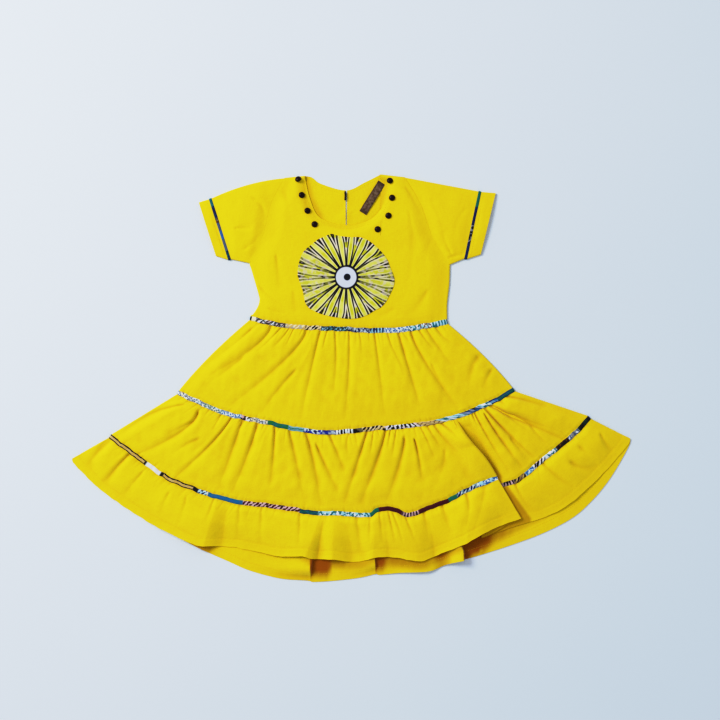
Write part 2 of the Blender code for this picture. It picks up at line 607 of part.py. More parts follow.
class Sleeve:
    """A short sleeve, its piping and its cuff band: flattened tubes from the armhole out."""

    front_shares = np.linspace(0, 1, 10)[1:-1]  # of the columns between the two bends
    bend_angles = np.radians([90, 45, 0, -45, -90])
    bend_radius = (FRONT_MID - BACK_MID) / 2

    def __init__(self, side, armhole, piping, cuff, bulge):
        self.side = side
        upward = armhole if armhole[0].y < armhole[-1].y else armhole[::-1]
        self.armhole = SmoothLine(upward)
        self.piping = SmoothLine(piping)
        self.cuff = SmoothLine(cuff)
        self.outward = -1.0 if side == "left" else 1.0
        self.bulge = bulge

    def line(self, name, across, offset):
        """Places across the tube on one of its lines, moved outward along the sleeve."""
        line = {"armhole": self.armhole, "piping": self.piping, "cuff": self.cuff}[name]
        return line.at(across) + offset * self.outward * line.right_hand(across)

    def section(self, width, lift):
        """Across share and height round the flattened tube: front, upper bend, back, lower bend."""
        inset = (CLOTH / 2 + self.bend_radius) / width
        middle = (FRONT_MID + BACK_MID) / 2
        turned = self.bend_radius * np.cos(self.bend_angles) / width
        bend_height = middle + self.bend_radius * np.sin(self.bend_angles)
        front = inset + (1 - 2 * inset) * self.front_shares
        across = np.concatenate([front, 1 - inset + turned, front[::-1], inset - turned[::-1]])
        lifted = FRONT_MID + lift * np.sin(np.pi * self.front_shares) ** 0.8
        flat = np.full(len(front), BACK_MID)
        height = np.concatenate([lifted, bend_height, flat, bend_height[::-1]])
        return np.append(across, across[0]), np.append(height, height[0])

    def tube(self, inner, inner_offset, outer, outer_offset, shares, lifts):
        """Rings of points from the inner line to the outer line."""
        rings = []
        for share, lift in zip(shares, lifts):
            ends = [
                (1 - share) * self.line(inner, end, inner_offset) + share * self.line(outer, end, outer_offset)
                for end in (0.0, 1.0)
            ]
            across, height = self.section(np.linalg.norm(ends[1] - ends[0]), lift)
            flat = (1 - share) * self.line(inner, across, inner_offset)
            flat = flat + share * self.line(outer, across, outer_offset)
            if inner == "armhole":
                flat[:, 1] += self.bulge * 4 * share * (1 - share) * ease(across * 2 - 1)
            rings.append(np.column_stack([flat, height]))
        return np.stack(rings, axis=1)

    def add(self, cotton, print_material, collection):
        half = SLEEVE_PIPING_WIDTH / 2
        shares = (0.0, 0.1, 0.35, 0.65, 0.9, 1.0)
        lifts = (SEAM_LIFT, 2.0, SLEEVE_LOFT, SLEEVE_LOFT, 2.0, SEAM_LIFT)
        body = self.tube("armhole", SEAM_GAP, "piping", -half - SEAM_GAP, shares, lifts)
        add_panel(f"sleeve_{self.side}", body, cotton, collection)
        lifts = (SEAM_LIFT, SEAM_LIFT + PIPING_RISE, SEAM_LIFT)
        strip = self.tube("piping", -half, "piping", half, (0.0, 0.5, 1.0), lifts)
        add_panel(f"sleeve_piping_{self.side}", strip, print_material, collection)
        lifts = (SEAM_LIFT, 1.6, 1.8)
        band = self.tube("piping", half + SEAM_GAP, "cuff", 0.0, (0.0, 0.4, 1.0), lifts)
        add_panel(f"cuff_band_{self.side}", band, cotton, collection)


def add_disc(bodice, material, collection):
    """The round printed applique: a square grid rounded to an ellipse, on the bodice's face."""
    run = np.linspace(-1, 1, 12)
    u, v = np.meshgrid(run, run, indexing="ij")
    x = DISC_CENTRE[0] + DISC_HALF_WIDTH * u * np.sqrt(1 - v * v / 2)
    y = DISC_CENTRE[1] + DISC_HALF_HEIGHT * v * np.sqrt(1 - u * u / 2)
    points = bodice.on_front(x, y, SEAM_GAP + DISC_WALL / 2)
    add_panel("sunburst_applique", points, material, collection, wall=DISC_WALL)


def add_label(material, collection):
    """The bare woven label inside the back of the neck."""
    u, v = np.meshgrid(np.linspace(-0.5, 0.5, 5), np.array([-0.5, 0.5]), indexing="ij")
    along, across = u * LABEL_LENGTH, v * LABEL_WIDTH
    x = LABEL_CENTRE[0] + along * math.cos(LABEL_TURN) - across * math.sin(LABEL_TURN)
    y = LABEL_CENTRE[1] + along * math.sin(LABEL_TURN) + across * math.cos(LABEL_TURN)
    height = np.full_like(x, CLOTH + SEAM_GAP + LABEL_WALL / 2)
    add_panel("neck_label", np.stack([x, y, height], axis=-1), material, collection, wall=LABEL_WALL)


def add_loop(material, collection):
    """The short loop that closes the slit at the back of the neck, lying on the back panel."""
    spine = bpy.data.curves.new("back_loop", "CURVE")
    spine.dimensions = "3D"
    spine.bevel_depth = LOOP_RADIUS * MM
    spine.bevel_resolution = 2
    spine.use_fill_caps = True
    run = spine.splines.new("POLY")
    shares = np.linspace(-0.5, 0.5, 5)
    run.points.add(len(shares) - 1)
    height = CLOTH + SEAM_GAP + LOOP_RADIUS
    for point, share in zip(run.points, shares):
        x = LOOP_CENTRE[0] + LOOP_BOW * math.cos(math.pi * share)
        y = LOOP_CENTRE[1] + LOOP_LENGTH * share
        point.co = (x * MM, y * MM, height * MM, 1.0)
    add_object("back_loop", spine, material, collection)


def stud_mesh():
    """A low turned dome with a flat foot."""
    mesh = bpy.data.meshes.new("stud")
    turned = bmesh.new()
    angles = np.radians([90, 60, 30, 0])
    dome = STUD_HEIGHT - STUD_RIM
    profile = [(STUD_RADIUS * math.cos(a), STUD_RIM + dome * math.sin(a)) for a in angles]
    profile += [(STUD_RADIUS, 0.0), (0.0, 0.0)]
    ring = [turned.verts.new((max(r, 0.0) * MM, 0.0, z * MM)) for r, z in profile]
    for start, end in zip(ring[:-1], ring[1:]):
        turned.edges.new((start, end))
    turned.to_mesh(mesh)
    turned.free()
    return mesh


def add_studs(bodice, material, collection):
    """Eight domed studs down the two sides of the neckline, each square to the cloth under it."""
    mesh = stud_mesh()
    mesh.materials.append(material)
    step = 2.0
    for number, place in enumerate(STUDS, start=1):
        x, y = np.array(place.x, float), np.array(place.y, float)
        slope_x = (bodice.lift(x + step, y) - bodice.lift(x - step, y)) / (2 * step)
        slope_y = (bodice.lift(x, y + step) - bodice.lift(x, y - step)) / (2 * step)
        stud = bpy.data.objects.new(f"stud_{number}", mesh)
        stud.location = [float(value) * MM for value in bodice.on_front(x, y, 2 * SEAM_GAP)]
        stud.rotation_euler = (math.atan(slope_y), -math.atan(slope_x), 0.0)
        collection.objects.link(stud)
        turn = stud.modifiers.new("turn", "SCREW")
        turn.steps = turn.render_steps = 12
        turn.use_merge_vertices = True
        turn.merge_threshold = 0.00005
        turn.use_smooth_shade = True


def main():
    for found in list(bpy.data.objects):
        bpy.data.objects.remove(found)
    dress = new_collection("tiered_dress")
    helpers = new_collection("cutters")
    cotton = new_material("yellow_cotton", (0.85, 0.66, 0.01), 0.85)
    printed = new_material("wax_print", (0.12, 0.24, 0.36), 0.8)
    woven = new_material("brown_label", (0.12, 0.07, 0.04), 0.8)
    cord = new_material("dark_cord", (0.03, 0.02, 0.02), 0.7)
    glossy = new_material("dark_stud", (0.03, 0.01, 0.006), 0.15)
    for tier in TIERS:
        add_tier(tier, cotton, dress)
    bodice = Bodice()
    add_pipings(bodice, printed, dress)
    add_bodice(bodice, cotton, dress, helpers)
    Sleeve("left", LEFT_ARMHOLE, LEFT_SLEEVE_PIPING, LEFT_CUFF, bulge=5.0).add(cotton, printed, dress)
    Sleeve("right", RIGHT_ARMHOLE, RIGHT_SLEEVE_PIPING, RIGHT_CUFF, bulge=0.0).add(cotton, printed, dress)
    add_disc(bodice, printed, dress)
    add_label(woven, dress)
    add_loop(cord, dress)
    add_studs(bodice, glossy, dress)


if __name__ == "__main__":
    main()
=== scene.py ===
"""Girl's tiered cotton dress with printed piping, laid flat: its cloth, prints, studs and finishes.

Lengths are in millimetres until a mesh is built. +X runs to the right of the dress as it is looked
at, +Y from the hem to the neck and +Z up from the surface that it lies on.
"""

import enum
import logging
import math
from dataclasses import dataclass, field
from typing import NamedTuple, Optional, Sequence

import bpy
import numpy as np
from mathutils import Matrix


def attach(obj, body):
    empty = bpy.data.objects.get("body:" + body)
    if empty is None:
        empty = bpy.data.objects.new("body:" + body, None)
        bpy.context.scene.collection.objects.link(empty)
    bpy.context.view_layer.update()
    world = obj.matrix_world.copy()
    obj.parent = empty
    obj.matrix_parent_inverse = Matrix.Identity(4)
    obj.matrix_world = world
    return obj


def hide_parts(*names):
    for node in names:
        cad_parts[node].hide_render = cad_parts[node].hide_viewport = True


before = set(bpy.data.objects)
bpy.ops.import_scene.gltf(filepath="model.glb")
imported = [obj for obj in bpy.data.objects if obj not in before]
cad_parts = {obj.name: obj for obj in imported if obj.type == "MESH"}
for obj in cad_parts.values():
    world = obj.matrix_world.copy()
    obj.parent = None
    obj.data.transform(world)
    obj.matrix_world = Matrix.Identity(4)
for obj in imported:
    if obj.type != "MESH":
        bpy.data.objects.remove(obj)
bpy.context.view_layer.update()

LOG = logging.getLogger("dress")
Array = np.ndarray
Path = Sequence[tuple[float, float]]  # places X, Y of an outline, or another measure by X

MM = 0.001
CLOTH = 0.5  # wall of a single cloth
HEM_WALL = 0.9  # wall of a turned hem
BACK_MID = CLOTH / 2  # height of the middle of a back panel's wall
FRONT_MID = 2.7 - CLOTH / 2  # the same for a front panel where it lies on the back
SIDE_MEET = 1.35  # height at which front and back meet in a side seam
SIDE_PART = 0.05  # half the gap between them there
SIDE_ROLL = 2.4  # width of the rounded edge there
SIDE_COLUMNS = (0.1, 0.3, 0.6, 1.0, 1.5, 2.1)  # distances from a side of the columns that round it
SEAM_LIFT = 0.9  # a seam's thickness holds the front that far off the back
SEAM_EDGE = 2.5  # a panel ends that far from the middle of a piped seam, under the piping
PIPING_HALF = 3.1
PIPING_RISE = 1.3
SLEEVE_PIPING_HALF = 2.1
SLEEVE_PIPING_RISE = 0.9
HEM_TURN = 12.0  # width of the turned hem
HEM_FRONT_DEPTH = 68.0  # depth of the lowest tier, front and back
HEM_BACK_DEPTH = 90.0
ON_TOP = 0.05  # gap under what lies on a cloth's face
STITCH = (2.0, 1.1, 0.2)  # length, gap and radius of a thread stitch
DISC_STITCH = (1.9, 1.1, 0.17)
HEM_STITCH = (2.2, 1.3, 0.2)
WAIST_WIDTH = 277.0

# The pleat: left of it the front lies over the rest, which comes out from underneath
PLEAT_LIP = 0.775  # stations run from 0 at the left side of the skirt to 1 at its right side
PLEAT_RETURN = 0.795
PLEAT_RADIUS = 1.25  # of each of its two bends
PLEAT_SWELL = 2.3  # added to it halfway down the middle tier
PLEAT_DEPTH = 13.0  # hidden run at the low seam
PLEAT_HEM_DEPTH = 56.0  # hidden run at the hem
PLEAT_SLOPE = 0.05  # stations over which the cloth climbs to the lip
PLEAT_HIDDEN = (0.022, 0.062)  # stations of the lower layer that stay flat, at the low seam and hem
PLEAT_CALM = 0.03  # stations over which folds start again on each side of it
PLEAT_COLUMNS = 61
PLEAT_LEAN = 0.032  # stations by which it starts further right at the middle seam
PLEAT_SHADE = (16.0, 7.0, 13.0)  # width of the painted shade band beside the lip: halfway down tier 2, at its foot, at the hem
PLEAT_WHOLE = 0.42  # share of tier 2 at which both bends have turned right round
PLEAT_FULL_RUN = 0.5  # share of tier 2 at which the hidden run starts to grow

# How a tier fills out: widths in millimetres, the rest in shares of its height
SIDE_RISE = 20.0
SEAM_RISE = 0.16
FOOT_FALL = 0.3
QUICK_RISE = 6.0  # width over which gathered cloth springs up beside a seam


class Fold(NamedTuple):
    """A fold that runs down to the hem: a ridge with a soft left side and a straight right one."""

    top: float  # X of its ridge at the seam above
    foot: float  # and at the hem
    left: float  # widths of its two sides at the hem
    right: float
    lift: float  # height at the hem


WAIST_SEAM = [(-141, 84), (-94, 74), (-20, 69), (52, 67), (108, 74), (134, 79)]
MIDDLE_SEAM = [
    (-242, -20), (-180, -47), (-118, -62), (-44, -75), (38, -70), (99, -64), (151, -52), (199, -32),
    (227, -16),
]  # fmt: skip
LOW_SEAM_LEFT = [
    (-337, -81), (-287, -118), (-247, -144), (-175, -169), (-113, -178), (-52, -188), (-10, -189), (24, -191),
    (36, -184), (52, -182), (66, -186), (78, -191), (91, -188), (108, -181), (134, -171), (177, -149),
    (203, -139),
]  # fmt: skip
LOW_SEAM_RIGHT = [(190, -150), (212, -149), (234, -141), (266, -115), (306, -83), (333, -55)]
FRONT_HEM_LEFT = [
    (-393, -114), (-350, -156), (-284, -201), (-219, -231), (-190, -234), (-161, -237), (-128, -243),
    (-104, -248), (-68, -248), (-54, -252), (-22, -253), (-6, -256), (12, -256), (30, -251), (46, -249),
    (68, -251), (96, -255), (113, -250), (136, -240), (157, -231), (180, -218), (207, -206), (236, -196),
]  # fmt: skip
FRONT_HEM_RIGHT = [
    (183, -223), (236, -205), (271, -194), (295, -182), (312, -170), (338, -147), (351, -134), (374, -109),
    (393, -86),
]  # fmt: skip
BACK_HEM = [
    (-392, -114), (-350, -155), (-284, -200), (-214, -237), (-170, -257), (-142, -269), (-100, -280),
    (-62, -283), (-52, -285), (-21, -283), (12, -279), (34, -274), (40, -275), (68, -272), (92, -271),
    (112, -269), (132, -261), (148, -256), (156, -254), (160, -253), (175, -249), (222, -234), (270, -216),
    (310, -195), (338, -170), (361, -142), (380, -111), (393, -86),
]  # fmt: skip
MIDDLE_SEAM_SAG = 62.0  # how far the back's seams hang below the line between their ends
LOW_SEAM_SAG = 132.0

FRONT_FOLDS = [
    Fold(-186, -206, 55, 25, 8.0), Fold(-43, -64, 50, 21, 8.0), Fold(-24, -26, 16, 30, 7.5),
    Fold(34, 31, 16, 46, 6.0), Fold(86, 92, 44, 40, 7.0), Fold(170, 160, 36, 50, 11.0),
    Fold(300, 316, 50, 50, 2.0),
]  # fmt: skip
BACK_FOLDS = [
    Fold(-51, -57, 40, 1.5, 7.0), Fold(28, 34, 26, 1.5, 5.0), Fold(78, 104, 40, 26, 4.0),
    Fold(131, 157, 18, 1.5, 11.0), Fold(-188, -206, 24, 8, 2.5),
]  # fmt: skip
# Where the front's hem stands off the back; this sets the painted shadow on the back under the hem.
HEM_OPENINGS = [
    (-234, 0), (-214, 7), (-202, 7), (-184, 0), (-80, 0), (-66, 4), (-58, 5), (-57, 14), (-32, 14), (-26, 7),
    (-2, 6), (24, 5), (33, 4), (34, 12), (44, 11), (50, 8), (113, 6), (156, 4), (157, 15), (178, 15),
    (200, 8), (240, 4), (300, 0),
]  # fmt: skip  # X, and how far the front's hem stands off the back there
BACK_STEPS = (-57.0, 34.0, 157.0)  # X of the steep sides at the hem

LEFT_SIDE = [(-141, 84), (-132, 97), (-128, 108), (-130, 120), (-142, 161)]
RIGHT_SIDE = [(134, 79), (134, 104), (137, 132), (138, 159)]
LEFT_ARMHOLE = [(-142, 161), (-123, 201), (-112, 244), (-93, 280)]
RIGHT_ARMHOLE = [(75, 281), (98, 241), (113, 199), (138, 159)]
LEFT_SHOULDER = [(-93, 280), (-65, 283)]
RIGHT_SHOULDER = [(41, 285), (75, 281)]
FRONT_NECKLINE = [(-65, 283), (-58, 252), (-44, 225), (-9, 214), (28, 223), (47, 250), (41, 285)]
BACK_NECKLINE = [(-65, 283), (-55, 281), (-42, 272), (-7, 263), (19, 274), (41, 285)]
LEFT_SLEEVE_PIPING = [(-170, 166), (-197, 251)]
LEFT_CUFF = [(-189, 171), (-213, 246)]
RIGHT_SLEEVE_PIPING = [(160, 167), (180, 261)]
RIGHT_CUFF = [(181, 173), (202, 259)]
STUDS = [(-74, 278), (-69, 256), (-61, 234), (-51, 215), (54, 276), (57, 252), (52, 227), (37, 208)]
DISC_BUMPS = [
    (0.24, 0.3, -0.075), (0.68, 0.25, -0.05), (1.48, 0.18, -0.05), (1.86, 0.1, 0.06), (2.12, 0.28, 0.08),
    (2.5, 0.18, 0.05), (-2.84, 0.25, -0.06), (-2.42, 0.2, 0.05), (-0.96, 0.12, -0.025),
]  # fmt: skip  # of the disc's edge: turn, half width in radians, and share of the radius that it stands out


# --- sums ---


def bell(distance: Array) -> Array:
    """1 at a line, falling smoothly to 0 on both sides."""
    return np.exp(-np.square(distance))


def ease(value: Array) -> Array:
    """0 up to 0, 1 from 1 on, and a smooth climb between them."""
    value = np.clip(value, 0.0, 1.0)
    return value * value * (3.0 - 2.0 * value)


def unit(vectors: Array) -> Array:
    """The vectors, each made one long."""
    return vectors / np.linalg.norm(vectors, axis=-1, keepdims=True)


def rolled(distance: Array, width: float) -> Array:
    """Height share of a round edge: a quarter circle over the width, then flat."""
    return np.sqrt(1.0 - np.square(1.0 - np.clip(distance / width, 0.0, 1.0)))


def met(height: Array, roll: Array, front: bool) -> Array:
    """The height of a front or back, brought by the roll to where the two meet in a side seam."""
    meet = SIDE_MEET + (SIDE_PART if front else -SIDE_PART)
    return meet + roll * (height - meet)


def with_height(flat: Array, height: Array) -> Array:
    """Flat places made points."""
    return np.concatenate([flat, height[..., None]], axis=-1)


def beside_sides(inner: Array, length: float) -> Array:
    """Stations from 0 to 1: the inner ones, and a few close to both sides of a panel of that length."""
    near = np.array([0.0, *SIDE_COLUMNS]) / length
    return np.concatenate([near, inner, 1 - near[::-1]])


def with_pleat(stations: Array, clear: float) -> Array:
    """The stations, with the pleat's own ones in place of any in it or closer to it than the clearance."""
    outside = (stations < PLEAT_LIP - clear) | (stations > PLEAT_RETURN + clear)
    return np.sort(np.concatenate([stations[outside], np.linspace(PLEAT_LIP, PLEAT_RETURN, PLEAT_COLUMNS)]))


def swell(x: Array, y: Array, size: float, seed: int) -> Array:
    """A smooth uneven swell between about -1 and 1: seeded plane waves of about one size, added up.

    Args:
        x: Places across.
        y: Places along, of the same shape.
        size: Typical distance from one crest to the next.
        seed: Number that fixes the waves.

    Returns:
        The swell at each place.
    """
    rng = np.random.default_rng(seed)
    ranges = ((0, math.tau), (0, math.tau), (0.7, 1.6))
    total = np.zeros_like(x)
    for turn, phase, stretch in zip(*(rng.uniform(low, high, 9) for low, high in ranges)):
        pace = math.tau / (size * stretch)
        total += np.sin(pace * (x * math.cos(turn) + y * math.sin(turn)) + phase)
    return total / 4.0


def floored(height: Array, lowest: Array | float = -1.3, softness: float = 0.3) -> Array:
    """The height kept above the lowest one, with a soft turn instead of a corner."""
    return lowest + softness * np.logaddexp(0.0, (height - lowest) / softness)


def hollows(height: Array, steps: int = 30) -> Array:
    """How far each point of a grid lies below the mean of those round it, in millimetres.

    Args:
        height: Height by column and row.
        steps: How many points away the mean reaches: it is taken again and again over neighbours.

    Returns:
        The depth at each point, 0 on ridges.
    """
    mean = height
    for _ in range(steps):
        wide = np.pad(mean, 1, mode="edge")
        mean = (wide[:-2, 1:-1] + wide[2:, 1:-1] + wide[1:-1, :-2] + wide[1:-1, 2:]) / 4
    return np.maximum(mean - height, 0.0)


@dataclass(frozen=True)
class Crease:
    """A soft trough in the cloth along a smooth curve through three places."""

    x1: float
    y1: float
    x2: float
    y2: float
    x3: float
    y3: float
    depth: float
    width: float  # half width in its middle
    flank: float = 0.06  # height of the low ridges beside it, as a share of its depth

    def dent(self, x: Array, y: Array) -> Array:
        """Depth over flat places: a soft bell across the curve with a sharp line in it.

        It widens towards its end, and its left bank is steeper than its right one.

        Args:
            x: Places across.
            y: Places along, of the same shape.

        Returns:
            How far the cloth dips at each place.
        """
        share = np.linspace(0, 1, 13)[:, None]
        line = (1 - share) * (1 - 2 * share) * np.array([self.x1, self.y1])
        line = line + share * (2 * share - 1) * np.array([self.x3, self.y3])
        line = line + 4 * share * (1 - share) * np.array([self.x2, self.y2])
        low, high = line.min(axis=0) - 5.0 * self.width, line.max(axis=0) + 5.0 * self.width
        near = (x > low[0]) & (x < high[0]) & (y > low[1]) & (y < high[1])
        found = np.zeros_like(x)
        if not near.any():
            return found
        place = np.stack([x[near], y[near]], axis=-1)[:, None]
        start, run = line[:-1], np.diff(line, axis=0)
        along = np.clip(((place - start) * run).sum(axis=-1) / (run * run).sum(axis=-1), 0.0, 1.0)
        offset = place - start - along[..., None] * run
        gap = np.linalg.norm(offset, axis=-1)
        nearest = gap.argmin(axis=1)
        rows = np.arange(len(nearest))
        away = gap[rows, nearest]
        turn = run[nearest, 0] * offset[rows, nearest, 1] - run[nearest, 1] * offset[rows, nearest, 0]
        progress = (nearest + along[rows, nearest]) / len(run)
        half = self.width * (0.45 + 0.85 * progress) * np.where(turn > 0, 1.0, 0.7)
        hold = ease(progress / 0.15 + 0.5) * (1.0 - progress) ** 0.6
        shape = 0.7 * bell(away / half) + 0.3 * np.exp(-away / (0.4 * half))
        shape -= self.flank * bell((away - 2.2 * half) / half)
        found[near] = self.depth * hold * shape
        return found


def sum_of_dents(creases: Sequence[Crease], x: Array, y: Array) -> Array:
    """Depth of all the creases together."""
    return sum((crease.dent(x, y) for crease in creases), np.zeros_like(x))


@dataclass(frozen=True)
class Gathers:
    """Small puckers that run down from a gathered seam, unevenly spaced."""

    pitch: float
    depth: float
    reach: float
    width: float
    seed: int

    def dent(self, along: Array, below: Array, length: float) -> Array:
        """Depth of the puckers.

        Args:
            along: Distance along the seam.
            below: Distance from the seam.
            length: Length of the seam.

        Returns:
            How far the cloth dips at each place.
        """
        rng = np.random.default_rng(self.seed)
        count = int(length / self.pitch)
        places = (np.arange(count) + 0.5 + rng.uniform(-0.4, 0.4, count)) * self.pitch
        ranges = ((0.3, 1.2), (0.4, 1.6), (0.7, 1.3), (-0.18, 0.18))
        sizes = [rng.uniform(low, high, count) for low, high in ranges]
        total = np.zeros_like(along + below)
        for place, deep, long, wide, lean in zip(places, *sizes):
            across = (along - place - lean * below) / (self.width * wide)
            fade = ease((self.reach * long - below) / (self.reach * long))
            total += deep * fade * (0.7 * bell(across) + 0.3 * np.exp(-2.0 * np.abs(across)))
        return self.depth * total


class SmoothLine:
    """A smooth line through a short table of points, read by the share of its length."""

    def __init__(self, points: Path, steps: int = 16) -> None:
        """Runs a curve through the points that keeps each point's direction even.

        Args:
            points: Places that the line passes through.
            steps: Short runs between two of them.
        """
        rows = np.array(points, float)
        knots = np.vstack([2 * rows[0] - rows[1], rows, 2 * rows[-1] - rows[-2]])
        a, b, c, d = (knots[i : i + len(rows) - 1, None] for i in range(4))
        u = np.linspace(0, 1, steps, endpoint=False)[None, :, None]
        spans = 2 * b + (c - a) * u + (2 * a - 5 * b + 4 * c - d) * u**2 + (3 * b - a - 3 * c + d) * u**3
        self.points = np.vstack([0.5 * spans.reshape(-1, 2), rows[-1:]])
        runs = np.linalg.norm(np.diff(self.points, axis=0), axis=1)
        self.length = float(runs.sum())
        self.share = np.concatenate([[0.0], np.cumsum(runs)]) / self.length

    def at(self, share: Array) -> Array:
        """Places at shares of the length."""
        return np.stack([np.interp(share, self.share, self.points[:, k]) for k in (0, 1)], axis=-1)

    def beside(self, share: Array, offset: Array | float, reach: float = 0.03) -> Array:
        """Places at shares of the length, moved to the right of someone who walks along the line.

        Args:
            share: Shares of the length.
            offset: How far to the right, one number or one for each place.
            reach: Share of the length on each side over which the direction is taken.

        Returns:
            The places.
        """
        middle = np.clip(share, 0.0, 1.0)
        run = unit(self.at(middle + reach) - self.at(middle - reach))
        right = np.stack([run[..., 1], -run[..., 0]], axis=-1)
        return self.at(share) + np.asarray(offset)[..., None] * right


class Seam:
    """A seam or hem across the skirt, by station. The pleat may part it into two lines."""

    def __init__(self, left: Path, right: Optional[Path] = None, wander: float = 0.0) -> None:
        """Runs its lines.

        Args:
            left: The line left of the pleat, or the whole one.
            right: The line right of the pleat.
            wander: How far the seam strays from its line.
        """
        self.left = SmoothLine(left)
        self.right = SmoothLine(right) if right else None
        self.length = self.left.length + (self.right.length if self.right else 0.0)
        self.wander = wander

    def edge(self, station: Array, offset: float) -> Array:
        """The points of the seam, moved down the skirt.

        Sewing and gathers pull it off its line in small waves that end at both sides.

        Args:
            station: Stations of the points.
            offset: How far down they are moved.

        Returns:
            The flat places.
        """
        station = np.asarray(station, float)
        along, near = station * self.length, np.minimum(station, 1 - station) * self.length
        wave = swell(along, 0 * along, 13.0, 17) + 0.8 * swell(along, 0 * along, 34.0, 18)
        offset = offset + self.wander * wave * ease(near / 12.0)
        if self.right is None:
            return self.left.beside(station, offset)
        left = self.left.beside(station / PLEAT_LIP, offset)
        right = self.right.beside((station - PLEAT_RETURN) / (1 - PLEAT_RETURN), offset, reach=0.1)
        return np.where(station[..., None] < (PLEAT_LIP + PLEAT_RETURN) / 2, left, right)


def sagging(seam: Path, sag: float) -> list[tuple[float, float]]:
    """The back's seam: it has the front seam's ends and hangs in one plain bow between them."""
    (x1, y1), (x2, y2) = seam[0], seam[-1]
    return [(x1 + (x2 - x1) * u, y1 + (y2 - y1) * u - 4 * sag * u * (1 - u)) for u in np.linspace(0, 1, 9)]


FRONT_SEAMS = [
    Seam(WAIST_SEAM, wander=0.45),
    Seam(MIDDLE_SEAM, wander=0.5),
    Seam(LOW_SEAM_LEFT, LOW_SEAM_RIGHT, wander=0.5),
    Seam(FRONT_HEM_LEFT, FRONT_HEM_RIGHT, wander=0.3),
]
BACK_SEAMS = [
    Seam(WAIST_SEAM, wander=0.45),
    Seam(sagging(MIDDLE_SEAM, MIDDLE_SEAM_SAG)),
    Seam(sagging([LOW_SEAM_LEFT[0], LOW_SEAM_RIGHT[-1]], LOW_SEAM_SAG)),
    Seam(BACK_HEM),
]
TIER_1_CREASES = [Crease(*row) for row in (
    (-139, 69, -164, 47, -205, 17, 2, 6.8), (-112, 75, -136, 43, -210, -2, 4, 6.8),
    (-86, 71, -97, 55, -111, 42, 1.6, 3), (-80, 70, -86, 56, -91, 45, 1.5, 2.6),
    (-64, 69, -88, 30, -178, -45, 3.4, 5.8), (-77, 12, -102, -16, -128, -52, 2.3, 6),
    (-43, 68, -53, 23, -71, -58, 3.1, 4.6), (-33, 67, -37, 52, -39, 40, 1.6, 2.6),
    (-23, 66, -21, 23, -25, -24, 2, 3.8), (-3, 66, -3, 14, -9, -58, 2.5, 4.4),
    (11, 65, 14, 51, 15, 34, 1.4, 3), (32, 65, 39, 17, 47, -56, 2.2, 4.4), (51, 64, 60, 38, 77, 8, 1.7, 3.6),
    (65, 66, 78, 23, 97, -42, 4.2, 4.6), (83, 68, 102, 26, 151, -44, 4.6, 4.8),
    (104, 71, 122, 44, 144, 14, 2.7, 5.5), (117, 74, 134, 54, 158, 43, 3, 6.1),
    (178, 31, 168, 12, 164, -18, 2.4, 9.9), (-56, 50, -75, 14, -140, -46, -0.8, 7),
    (58, 40, 72, 4, 88, -40, -0.6, 7), (-97, 72, -112, 55, -134, 36, 1.8, 3.2),
    (93, 70, 106, 52, 118, 40, 2.2, 3.3), (112, 20, 122, 0, 132, -20, 1.9, 6.6),
    (-150, 30, -178, 8, -206, -12, 1.4, 7.4), (196, 12, 188, -2, 184, -16, 1.9, 6.6),
)]  # fmt: skip
TIER_2_CREASES = [Crease(*row) for row in (
    (-234, -37, -282, -51, -320, -79, 2.5, 5.5), (-214, -46, -236, -74, -302, -108, 4.4, 6),
    (-180, -48, -188, -63, -194, -73, 1.8, 3.2), (-166, -52, -195, -91, -248, -140, 3.9, 3.8),
    (-212, -84, -231, -93, -252, -109, 1.6, 5.5), (-151, -56, -165, -98, -187, -158, 3.6, 6.5),
    (-131, -61, -142, -100, -168, -164, 4.4, 6), (-107, -67, -108, -103, -113, -152, 3.9, 4.6),
    (-87, -71, -77, -114, -65, -170, 3.3, 5.5), (-64, -75, -51, -123, -42, -182, 4.1, 6),
    (-49, -92, -34, -126, -14, -166, 3.6, 5), (-32, -77, -20, -102, -8, -134, 3.6, 4.6),
    (22, -74, 10, -114, -10, -176, 4.4, 5), (48, -72, 38, -109, 13, -176, 4.6, 5),
    (55, -71, 53, -85, 51, -98, 2.3, 2.6), (74, -82, 68, -117, 48, -174, 3.9, 5.6),
    (88, -85, 94, -109, 99, -142, 4.4, 3.6), (123, -61, 155, -86, 202, -128, 3.5, 4),
    (168, -47, 174, -60, 181, -70, 3.4, 2.9), (171, -46, 194, -88, 222, -134, 3.8, 3.5),
    (186, -50, 208, -84, 240, -126, 4.9, 3.4), (184, -39, 218, -76, 258, -112, 5.8, 3.9),
    (194, -38, 240, -60, 304, -88, 7.8, 4.8), (224, -52, 262, -64, 312, -82, 4.9, 9.2),
    (216, -25, 244, -31, 276, -40, 3.5, 3.7), (222, -84, 236, -100, 250, -116, 2.9, 4.6),
    (204, -42, 226, -58, 262, -80, 3.5, 3.4), (-3, -76, -6, -92, -4, -108, 1.4, 3.2),
    (105, -65, 116, -82, 126, -98, 2.5, 3.3), (-120, -80, -130, -110, -140, -140, -0.6, 6),
    (31, -73, 29, -92, 26, -106, 1.8, 2.4), (63, -71, 60, -92, 57, -108, 1.8, 2.6),
    (114, -63, 130, -84, 150, -104, 2.2, 3.3), (250, -66, 262, -80, 274, -92, 2.3, 4.6),
    (96, -67, 108, -90, 116, -112, 1.8, 2.8), (-222, -60, -240, -70, -262, -80, 1.6, 5),
    (130, -100, 128, -122, 118, -150, 1.8, 6.6),
)]  # fmt: skip
